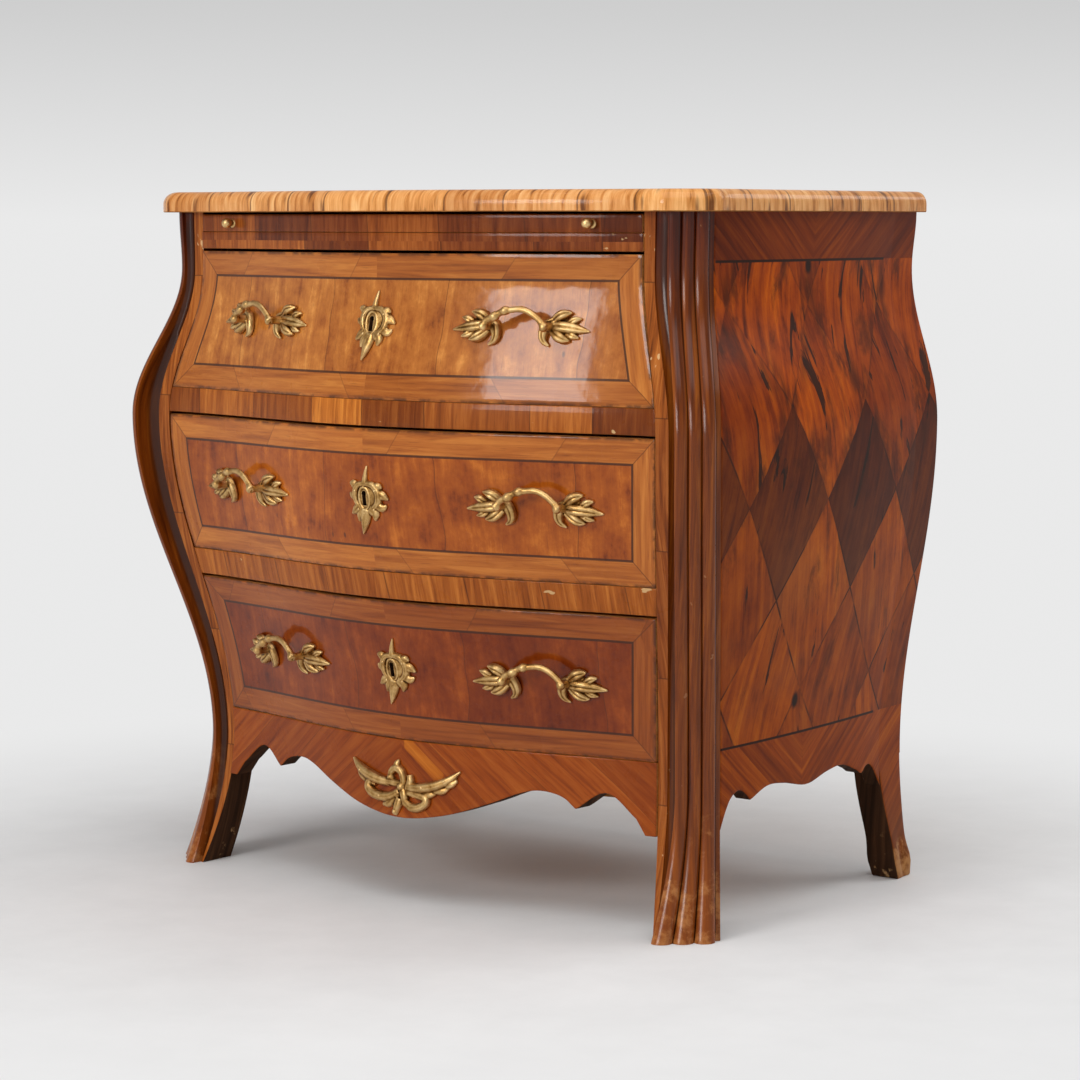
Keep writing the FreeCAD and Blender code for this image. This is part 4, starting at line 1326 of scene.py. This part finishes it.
for number in (1, 2, 3):
    name = "drawer_%d" % number
    for part in boards["drawer"]:
        easedCopy(name + "_" + part, wood["pine"], name)
    easedCopy(name + "_lock_bolt", steel, "lock_bolt_%d" % number, boards["lockEdge"])
    case = easedCopy(name + "_lock_case", steel, name, boards["lockEdge"]).data
    case.materials.append(wood["bareAndShade"])
    for face in case.polygons:                       # the key's way into the lock gets the near-black bare wood, painted shade inside the keyway
        if all(abs(case.vertices[v].co.x) < boards["keyway"] * mm for v in face.vertices):
            face.material_index = 1
easedCopy("slide_board", wood["pine"], "brushing_slide")
for node in boards["carcass"]:
    easedCopy(node, wood["pine"], "carcass")
for node in boards["asPacked"]:
    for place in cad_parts[node].material_slots:
        place.material = wood["pine"]
print("inner boards ready")

# brass: castings built up from blades, rods and domes, in millimetres across, up and out from the front
castSizes = {"ring": 11, "leastHalf": 0.5, "base": 0.8, "sunk": 0.6, "vein": 0.22, "rib": 0.10, "relax": 3}


def direction(line, k):
    return (line[min(k + 1, len(line) - 1)] - line[max(k - 1, 0)]).normalized()


class Casting:
    def __init__(self, place):
        self.verts, self.faces, self.place = [], [], place

    def add(self, points, faces):
        start = len(self.verts)
        self.verts += points
        self.faces += [tuple(start + i for i in f) for f in faces]

    def blade(self, path, widths, rise, lift, groove, steps=26):
        # a leaf that lies on the surface: path of (across, up), half widths, height of the crest, lift
        line = spread([(p[0], p[1], 0) for p in path], steps)
        wide, high = spreadNumbers(widths, steps), spreadNumbers(rise, steps)
        up = spreadNumbers(lift or (0, 0), steps)
        marks = [2 * i / (castSizes["ring"] - 1) - 1 for i in range(castSizes["ring"])]
        points = []
        for k in range(steps):
            tangent = direction(line, k)
            normal = Vector((-tangent.y, tangent.x, 0))
            ring = []
            for s in marks:
                crest = (1 - s * s) ** 0.5 * (1 - groove * math.exp(-(s / castSizes["vein"]) ** 2))
                ring.append((s, castSizes["base"] + high[k] * crest))
            ring += [(1, -castSizes["sunk"]), (-1, -castSizes["sunk"])]
            for s, out in ring:
                p = line[k] + normal * s * max(wide[k], castSizes["leastHalf"])
                points.append(self.place(p.x, p.y, max(up[k], 0) + out))
        self.add(points, skin(steps, len(marks) + 2))

    def dome(self, across, up, radius, rise, ribs=0, rings=7, around=28):
        points = []
        for r in range(rings):
            angle = math.pi / 2 * r / (rings - 1)
            out = -castSizes["sunk"] + (rise + castSizes["sunk"]) * math.sin(angle)
            for turn in circle(around):
                wave = 1 + (castSizes["rib"] * math.cos(ribs * turn) * math.cos(angle) if ribs else 0)
                reach = radius * math.cos(angle) * wave
                points.append(self.place(across + reach * math.cos(turn), up + reach * math.sin(turn), out))
        self.add(points, skin(rings, around, False))

    def rod(self, path, radii, around, steps):
        line = spread([self.place(*p) for p in path], steps)
        size = spreadNumbers(radii, steps)
        points = []
        side = Vector((0, 0, 1))
        for k in range(steps):
            tangent = direction(line, k)
            side = side - tangent * side.dot(tangent)
            side = side.normalized() if side.length > 1e-4 else tangent.orthogonal().normalized()
            other = tangent.cross(side)
            for turn in circle(around):
                points.append(line[k] + (side * math.cos(turn) + other * math.sin(turn)) * size[k])
        self.add(points, skin(steps, around))

    def mesh(self, name, grainSize):
        rough = newMesh(name, self.verts, self.faces)
        softenEdges(rough)

        def setUp(helper):
            fuse = helper.modifiers.new("fuse", "REMESH")
            fuse.mode = "VOXEL"
            fuse.voxel_size = grainSize * mm
            relax = helper.modifiers.new("relax", "SMOOTH")
            relax.factor = 0.5
            relax.iterations = castSizes["relax"]

        return evaluated(rough, setUp)


handle = {
    "half": 35, "grain": 0.7, "groove": 0.3, "boss": (35, 1.5, 6.6, 7.5), "bossRibs": 5, "around": 16,
    # lobes of a leaf: path, half widths, crest heights, lift off the front
    "lobes": (
        ([(34, 0), (48, -1), (62, -2.6), (78, -5)],
         (5.5, 6.4, 5.4, 1.0), (4.6, 5.6, 4.2, 1.2), (1.5, 3, 2, 0.4)),
        ([(36, 4), (43, 10), (50, 12.8), (57, 14)], (4.4, 5.8, 4.8, 1.0), (4.4, 5.6, 3.0), (2, 3.5, 1.2)),
        ([(36, -4), (43, -10), (50, -13.6), (57, -15.4)],
         (4.4, 5.8, 4.8, 1.0), (4.4, 5.2, 2.8), (1.5, 2.8, 1.0)),
        ([(54, 3.2), (61, 6.6), (68, 8)], (3.4, 4.0, 0.9), (3.4, 3.8, 1.8), (1.5, 2.2, 0.8)),
        ([(53, -6.6), (60, -10), (67, -12)], (3.4, 3.8, 0.9), (3.2, 3.6, 1.8), (1.0, 1.8, 0.8)),
        ([(33, 0), (46, 0), (60, -2)], (7, 10, 4), (2.0, 2.6, 1.6), (0.5, 1.0, 0.5)),
        ([(38, 5.5), (30, 1), (26.5, -8), (28, -15.5), (34.5, -20.5)],
         (4.4, 5.8, 5.4, 4.0, 1.2), (4.6, 5.2, 4.4, 2.2), (2.5, 3, 2, 0.5))),
    # each end's stem and the cuff over it: path, radii, steps
    "ends": (([(35, 0, -3), (35, 0, 6), (35, 0, 14), (35, 0, 20)], (5.2, 4.8, 4.4, 4.8), 16),
             ([(38, -2.5, 20), (36, -1, 20), (34.5, 1.2, 20.2), (33, 4, 20.4)], (3.0, 5.4, 5.2, 3.8), 14)),
    "bail": [(-35, 1, 20), (-30.5, 6.5, 20.5), (-23, 9.5, 21), (-17, 13.5, 21), (-10, 15.8, 21),
             (0, 17.6, 21), (9, 18, 21), (18, 15.5, 21), (26, 10.5, 20.8), (32, 5, 20.3), (35, 1, 20)],
    "bailSize": (4.2, 3.9, 4.1, 3.3, 3.9, 3.3, 3.5, 3.4, 3.4, 3.6, 4.2), "bailSteps": 64,
    "wraps": (([(-27, 8.2, 20.8), (-21.5, 10.2, 21.2), (-16, 14, 21)], (3.2, 5.4, 3.0)),
              ([(-14, 14.8, 21), (-9, 16.4, 21.6), (-3, 17.4, 21)], (3.0, 4.9, 3.0))),
}


def makeHandle(number, row, side):
    middle, z0 = side * row["spread"], row["handle"]
    ends = [Vector((x, frontAt(x, z0), z0)) for x in (middle - handle["half"], middle + handle["half"])]
    chord = (ends[1] - ends[0]).normalized()
    outward = Vector((chord.y, -chord.x, 0))
    centre = (ends[0] + ends[1]) / 2
    cast = Casting(lambda u, w, h: onFront(middle + u, z0 + w, h))
    across, up, radius, rise = handle["boss"]
    for s in (-1, 1):
        for path, widths, crest, lift in handle["lobes"]:
            cast.blade([(s * u, w) for u, w in path], widths, crest, lift, handle["groove"])
        cast.dome(s * across, up, radius, rise, handle["bossRibs"])
    cast.place = lambda u, w, h: centre + chord * u + Vector((0, 0, w)) + outward * h
    for s in (-1, 1):
        for path, sizes, steps in handle["ends"]:
            cast.rod([(s * u, w, h) for u, w, h in path], sizes, handle["around"], steps)
    cast.rod(handle["bail"], handle["bailSize"], handle["around"], handle["bailSteps"])
    for path, sizes in handle["wraps"]:              # small leaves wrapped round the bail
        cast.rod(path, sizes, 14, 14)
    name = "drawer_%d_%s_handle" % (number, "right" if side > 0 else "left")
    mesh = cast.mesh(name, handle["grain"])
    finishPiece("cast_" + name, mesh, [brass], "drawer_%d" % number, [name], 60)


escutcheon = {
    "grain": 0.65, "slot": 2.86, "eye": 3.4, "slotLow": -8.4, "eyeAt": 4.6, "cut": (-14, 6), "near": 0.05,
    "bead": (7.4, 12.0, 2.6), "beadSize": 1.6, "boss": (-1, -16, 4.0, 5.2),
    # path, half widths, crest heights, lift off the front, groove
    "leaves": (
        ([(3, 15), (4, 7), (4, 0), (3, -8), (0, -14)], (7, 13, 15, 13, 7), (2.2, 2.8, 2.4), None, 0.0),
        ([(2, 16), (-8, 14), (-13, 6), (-12, -4), (-6, -11)],
         (2.6, 3.4, 3.6, 3.4, 2.6), (3.0, 3.8, 3.2), (0.5, 1, 0.5), 0.12),
        ([(3, 16), (13, 14), (19.5, 6), (17.5, -5), (9, -12)],
         (3, 4.0, 4.6, 4.2, 3), (3.2, 4.2, 3.4), (0.5, 1, 0.5), 0.12),
        ([(13, 11), (20, 13), (25, 12)], (4.6, 4.6, 1.4), (3.0, 2.8, 1.6), (1, 1.5, 0.6), 0.12),
        ([(17, 4), (25, 3.5), (32, -0.5)], (5.2, 5.2, 1.2), (3.2, 2.8, 1.6), (1, 1.5, 0.6), 0.12),
        ([(-9, 11), (-15, 15), (-20, 15.5)], (4.6, 4.4, 1.3), (3.0, 2.6, 1.4), (1, 1.2, 0.5), 0.12),
        ([(-11, 2), (-17, 2), (-21, 5)], (4.6, 4.2, 1.3), (2.8, 2.4, 1.4), (0.8, 1.0, 0.5), 0.12),
        ([(1, 14), (2, 21), (3.5, 28), (5.5, 35)],
         (4.4, 3.2, 2.2, 0.8), (3.2, 2.4, 0.9), (0.5, 0.6, 0.2), 0.1),
        ([(15, -7), (23, -9.5), (29, -7)], (5.0, 4.8, 1.2), (3.2, 2.6, 1.2), (0.6, 1.2, 0.4), 0.12),
        ([(-7, -8), (-14, -13), (-21, -18)], (5.2, 5.2, 1.3), (3.4, 3.0, 1.4), (0.5, 1.2, 0.4), 0.12),
        ([(6, -11), (12, -16.5), (11, -24)], (5.8, 5.8, 1.6), (3.4, 3.0, 1.6), (0.5, 1.2, 0.4), 0.12),
        ([(-4, -11), (-9, -18.5), (-12, -26)], (5.4, 4.8, 1.4), (3.4, 3.0, 1.6), (0.5, 1.0, 0.4), 0.12),
        ([(0, -12), (-2.5, -22), (-5.5, -32), (-9, -40)],
         (7.0, 6.4, 3.6, 0.9), (3.8, 3.2, 1.4), (0.5, 1.2, 0.3), 0.12)),
}


def makeEscutcheon(number, row):
    z0 = row["handle"]
    cast = Casting(lambda u, w, h: onFront(u, z0 + w, h))
    for path, widths, crest, lift, groove in escutcheon["leaves"]:
        cast.blade(path, widths, crest, lift, groove)
    # a bead round the keyhole
    wide, tall, out = escutcheon["bead"]
    turns = [math.radians(a) for a in range(0, 361, 30)]
    bead = [(wide * math.sin(a), tall * math.cos(a), out) for a in turns]
    cast.rod(bead, (escutcheon["beadSize"],) * 2, 10, 60)
    cast.dome(*escutcheon["boss"])
    name = "drawer_%d_escutcheon" % number
    # the keyhole: a round eye over a slot, cut through the plate
    eye, eyeAt, slot, slotLow = [escutcheon[key] for key in ("eye", "eyeAt", "slot", "slotLow")]
    turns = [math.radians(a) for a in range(-50, 231, 20)]
    outline = [(eye * math.cos(a), z0 + (eyeAt + eye * math.sin(a))) for a in turns]
    outline += [(-slot, z0 + slotLow), (slot, z0 + slotLow)]
    near, far = [frontAt(0, z0) + y for y in escutcheon["cut"]]
    mesh = cutThrough(cast.mesh(name, escutcheon["grain"]), outline, near, far)
    for face in mesh.polygons:                       # the walls of the keyhole get the near-black bare wood: painted shade inside the hole
        across, up = face.center.x / mm, face.center.z / mm - z0
        inEye = math.hypot(across, up - eyeAt) < eye + escutcheon["near"]
        inSlot = abs(across) < slot + escutcheon["near"] and slotLow - escutcheon["near"] < up < eyeAt
        face.material_index = 1 if inEye or inSlot else 0
    finishPiece("cast_" + name, mesh, [brass, wood["bareAndShade"]], "drawer_%d" % number, [name], 50)
    return mesh


mount = {
    "height": 128, "grain": 0.8, "groove": 0.1,
    # left wing and scroll, loop and middle, right wing and scroll, drop
    "leaves": (
        ([(-14, 5), (-32, 7), (-50, 12), (-64, 18.5), (-75, 26)],
         (5, 6.0, 6.2, 4.6, 1.0), (4.6, 6.0, 5.2, 1.4), (1, 2.5, 2, 0.4)),
        ([(-36, 2), (-50, 4.5), (-60, 9), (-67, 15)], (4.0, 4.4, 4.0, 1.2), (3.6, 3.8, 2.0), (0.5, 1.2, 0.4)),
        ([(-44, 5), (-47.5, -2), (-40, -9), (-25, -11.5), (-11, -9.5), (0, -3)],
         (4.6, 5.2, 5.6, 5.8, 5.4, 4.4), (4.6, 5.6, 5.0), (1, 1.6, 1)),
        ([(-24, 6.5), (-10, 5.5), (6, 4.5)], (4.0, 4.4, 4.6), (4.8, 5.2, 5.0), (0.8, 1.4, 0.8)),
        ([(-12.5, 9), (-13, 16.5), (-6, 22), (2, 18.5), (5, 10), (5, 4)],
         (4.2, 4.6, 4.8, 4.6, 4.4, 4), (4.6, 5.2, 4.8), (0.5, 1.4, 0.6)),
        ([(-6.5, 22), (-5, 27.5), (-3, 31.5)], (4.6, 3.8, 1.2), (4.0, 3.4, 1.6), (0.5, 1, 0.3)),
        ([(13, 16), (15, 9), (11, -3)], (3.4, 4.6, 4.4), (4.4, 5.0, 4.6), (0.5, 1.2, 0.5)),
        ([(10, 2), (31, 3.5), (50, 8), (66, 15.5), (80, 26)],
         (5, 6.0, 5.8, 4.6, 1.0), (4.6, 6.0, 5.2, 1.4), (1, 2.5, 2, 0.4)),
        ([(30, -1), (42, -2.5), (51, 0)], (4.2, 4.4, 1.8), (3.8, 4.0, 2.2), (0.5, 1.2, 0.5)),
        ([(48, 2), (58, 2.5), (66, 6.5)], (3.8, 4.2, 1.8), (3.8, 4.0, 2.2), (0.5, 1.2, 0.5)),
        ([(62, 8.5), (70, 11), (76, 16)], (3.6, 3.8, 1.6), (3.4, 3.6, 2.0), (0.5, 1.2, 0.5)),
        ([(13, -3), (27, -5), (37.5, -8), (37.5, -13.5), (29, -18), (19, -19), (9, -14)],
         (4.6, 5.0, 4.8, 4.6, 5.0, 5.2, 4.6), (4.8, 5.4, 4.8), (0.6, 1.6, 0.6)),
        ([(4, 1), (8, -8), (9, -18)], (5.2, 5.4, 3.2), (5.2, 5.2, 3.6), (0.5, 1.2, 0.5)),
        ([(-4, -8), (-13, -17.5), (-23, -20)], (5.0, 4.8, 1.8), (4.2, 4.0, 2.2), (0.5, 1.2, 0.4)),
        ([(1, -11), (-1.5, -20), (-4, -29)], (5.2, 4.8, 2.8), (4.6, 4.2, 3.0), (0.5, 1.2, 0.5))),
    "beads": ((-14, 11, 5.4, 7.0), (3, 2, 6.6, 8.2), (-4, -26, 4.2, 6.0), (-3, -7, 5.0, 7.0),
              (-45, 4, 5.0, 6.8), (37, -11, 4.6, 6.8)),
}


def makeApronMount():
    cast = Casting(lambda u, w, h: onFront(u, mount["height"] + w, h))
    for path, widths, crest, lift in mount["leaves"]:
        cast.blade(path, widths, crest, lift, mount["groove"])
    for bead in mount["beads"]:
        cast.dome(*bead)
    mesh = cast.mesh("apron_mount", mount["grain"])
    finishPiece("cast_apron_mount", mesh, [brass], "carcass", ["apron_mount"], 60)
    return mesh


pins = {"radius": 1.5, "rise": 0.9, "around": 8, "rings": 6, "seed": 11, "vary": (0.88, 1.12), "startOut": 60,
        "plate": ((-11, 8), (17, 9), (13, -12), (-9, -12)),
        "mount": ((-58, 14), (-26, -11), (34, 4), (62, 14))}
pinSizes = {"Radius": pins["radius"] * mm, "Rise": pins["rise"] * mm, "Around": pins["around"],
            "Seed": pins["seed"]}


def pinTree():
    tree, size = startTree("brassPins", pinSizes)
    ball = addNode(tree, "GeometryNodeMeshUVSphere",
                   {"Segments": size["Around"], "Rings": pins["rings"], "Radius": size["Radius"]})
    squeeze = addNode(tree, "GeometryNodeTransform", {"Geometry": Wire(tree, ball.outputs[0]),
                                                      "Scale": joinAxes(1, 1, size["Rise"] / size["Radius"])})
    facing = named(tree, "facing", "FLOAT_VECTOR")
    turn = addNode(tree, "FunctionNodeAlignRotationToVector", {"Vector": facing})
    vary = tree.nodes.new("FunctionNodeRandomValue")          # no two heads are quite alike
    vary.data_type = "FLOAT"
    vary.inputs[2].default_value, vary.inputs[3].default_value = pins["vary"]
    plug(vary.inputs["Seed"], size["Seed"])
    heads = addNode(tree, "GeometryNodeInstanceOnPoints", {
        "Points": size["Geometry"], "Instance": Wire(tree, squeeze.outputs[0]),
        "Rotation": Wire(tree, turn.outputs[0]), "Scale": Wire(tree, vary.outputs[1])})
    endTree(tree, heads, size["Material"])
    return tree


pinGroup = pinTree()


def setPins(name, body, cast, height, places):   # each pin sits where a line from the front meets the casting
    surface = BVHTree.FromPolygons([v.co for v in cast.vertices], [tuple(f.vertices) for f in cast.polygons])
    points, facing = [], []
    for across, up in places:
        normal = frontNormal(across, height + up)
        hit = surface.ray_cast(onFront(across, height + up, pins["startOut"]) * mm, -normal)[0]
        if hit:
            points.append(hit / mm)
            facing.extend(normal)
    mesh = newMesh(name, points, [])
    mesh.attributes.new("facing", "FLOAT_VECTOR", "POINT").data.foreach_set("vector", facing)
    heads = evaluated(mesh, lambda helper: setInputs(helper, pinGroup, dict(pinSizes, Material=brass)))
    finishPiece(name, heads, [brass], body, [], 60)


def makeKnob(side):
    x, z = side * slide["knobAt"], (drawers["top"] + slide["high"]) / 2
    y = frontAt(x, z)
    verts = []
    for radius, depth in slide["knob"]:
        r = max(radius, 0.01)
        for turn in circle(slide["knobAround"]):
            verts.append((x + r * math.cos(turn), y + depth, z + r * math.sin(turn)))
    name = "slide_%s_knob" % ("right" if side > 0 else "left")
    mesh = newMesh(name, verts, skin(len(slide["knob"]), slide["knobAround"]))
    softenEdges(mesh)
    finishPiece("turned_" + name, mesh, [brass], "brushing_slide", [name], 50)


for number, row in enumerate(rows, 1):
    plate = makeEscutcheon(number, row)
    setPins("drawer_%d_escutcheon_pins" % number, "drawer_%d" % number, plate, row["handle"], pins["plate"])
    for side in (-1, 1):
        makeHandle(number, row, side)
setPins("apron_mount_pins", "carcass", makeApronMount(), mount["height"], pins["mount"])
for side in (-1, 1):
    makeKnob(side)
print("brass ready")

# floor, light and camera
studio = {
    "floor": 0.79, "floorRough": 0.55, "floorReach": 40, "mottle": (0.96, 1.03), "fade": (0.4, 1.3),
    "horizon": 0.82, "top": 0.62, "topRise": 0.065, "zenith": 0.30, "zenithRise": 0.6, "ambient": 0.39,
    "lamps": {
        "windowLight": {"at": (-0.1, -3.3, 1.55), "aim": (0.1, -0.2, 0.62), "size": (1.22, 1.1), "power": 47},
        "skyLight": {"at": (0.7, -0.9, 3.4), "aim": (0.0, 0.0, 0.4), "size": (3.0, 3.0), "power": 56},
        "backFill": {"at": (1.5, 2.4, 2.5), "aim": (0.7, 0.4, 0.0), "size": (2.0, 2.0), "power": 32}},
    "camera": {"at": (2.2954, -2.8089, 0.7480), "drop": 5.71, "turn": 38.93, "lens": 106.6, "sensor": 36},
}


def isSeen(tree):                      # camera, mirror and glass rays
    path = tree.nodes.new("ShaderNodeLightPath")
    rays = [Wire(tree, path.outputs["Is %s Ray" % kind]) for kind in ("Camera", "Glossy", "Transmission")]
    return most(rays[0], most(rays[1], rays[2]))


def mixShaders(tree, share, first, second, out):
    mix = addNode(tree, "ShaderNodeMixShader",
                  {0: share, 1: Wire(tree, first.outputs[0]), 2: Wire(tree, second.outputs[0])})
    tree.links.new(mix.outputs[0], out.inputs[0])


def makeFloor():                       # it fades into the horizon
    mat, tree, shader = startMaterial("studioFloor", studio["floorRough"])
    x, y, z = axes(tree)
    dark, light = [studio["floor"] * share for share in studio["mottle"]]
    plug(shader.inputs["Base Color"], ramp(cloud(joinAxes(x, y, z), 9, 6, 0.65), [(0.3, dark), (0.7, light)]))
    glow = addNode(tree, "ShaderNodeEmission", {"Color": (studio["horizon"],) * 3})
    far = (x * x + y * y).calc("SQRT")
    out = next(n for n in tree.nodes if n.type == "OUTPUT_MATERIAL")
    mixShaders(tree, between(far, *studio["fade"]) * isSeen(tree), shader, glow, out)
    mesh = bpy.data.meshes.new("floor")
    r = studio["floorReach"]
    mesh.from_pydata([(-r, -r, 0), (r, -r, 0), (r, r, 0), (-r, r, 0)], [], [(0, 1, 2, 3)])
    mesh.materials.append(mat)
    floor = bpy.data.objects.new("floor", mesh)
    scene.collection.objects.link(floor)


def makeWorld():
    world = bpy.data.worlds.new("studio")
    scene.world = world
    world.use_nodes = True
    tree = world.node_tree
    tree.nodes.clear()
    out = tree.nodes.new("ShaderNodeOutputWorld")
    up = axes(tree, "Generated")[2]
    sky = ramp(up, [(0.0, studio["horizon"]), (studio["topRise"], studio["top"]),
                    (studio["zenithRise"], studio["zenith"])])
    seen = addNode(tree, "ShaderNodeBackground", {"Color": sky})
    lit = addNode(tree, "ShaderNodeBackground", {"Color": (studio["ambient"],) * 3})
    mixShaders(tree, isSeen(tree), lit, seen, out)


def makeLamp(name, values):
    data = bpy.data.lights.new(name, "AREA")
    data.shape = "RECTANGLE"
    data.size, data.size_y = values["size"]
    data.energy = values["power"]
    lamp = bpy.data.objects.new(name, data)
    lamp.location = values["at"]
    lamp.rotation_euler = (Vector(values["aim"]) - lamp.location).to_track_quat("-Z", "Y").to_euler()
    scene.collection.objects.link(lamp)


def makeCamera():
    values = studio["camera"]
    data = bpy.data.cameras.new("camera")
    data.sensor_width = values["sensor"]
    data.lens = values["lens"]
    camera = bpy.data.objects.new("camera", data)
    camera.location = values["at"]
    camera.rotation_euler = (math.radians(90 - values["drop"]), 0, math.radians(values["turn"]))
    scene.collection.objects.link(camera)
    scene.camera = camera


makeFloor()
makeWorld()
for name, values in studio["lamps"].items():
    makeLamp(name, values)
makeCamera()
scene.view_settings.view_transform = "Standard"
print("stage ready")

bpy.context.view_layer.update()
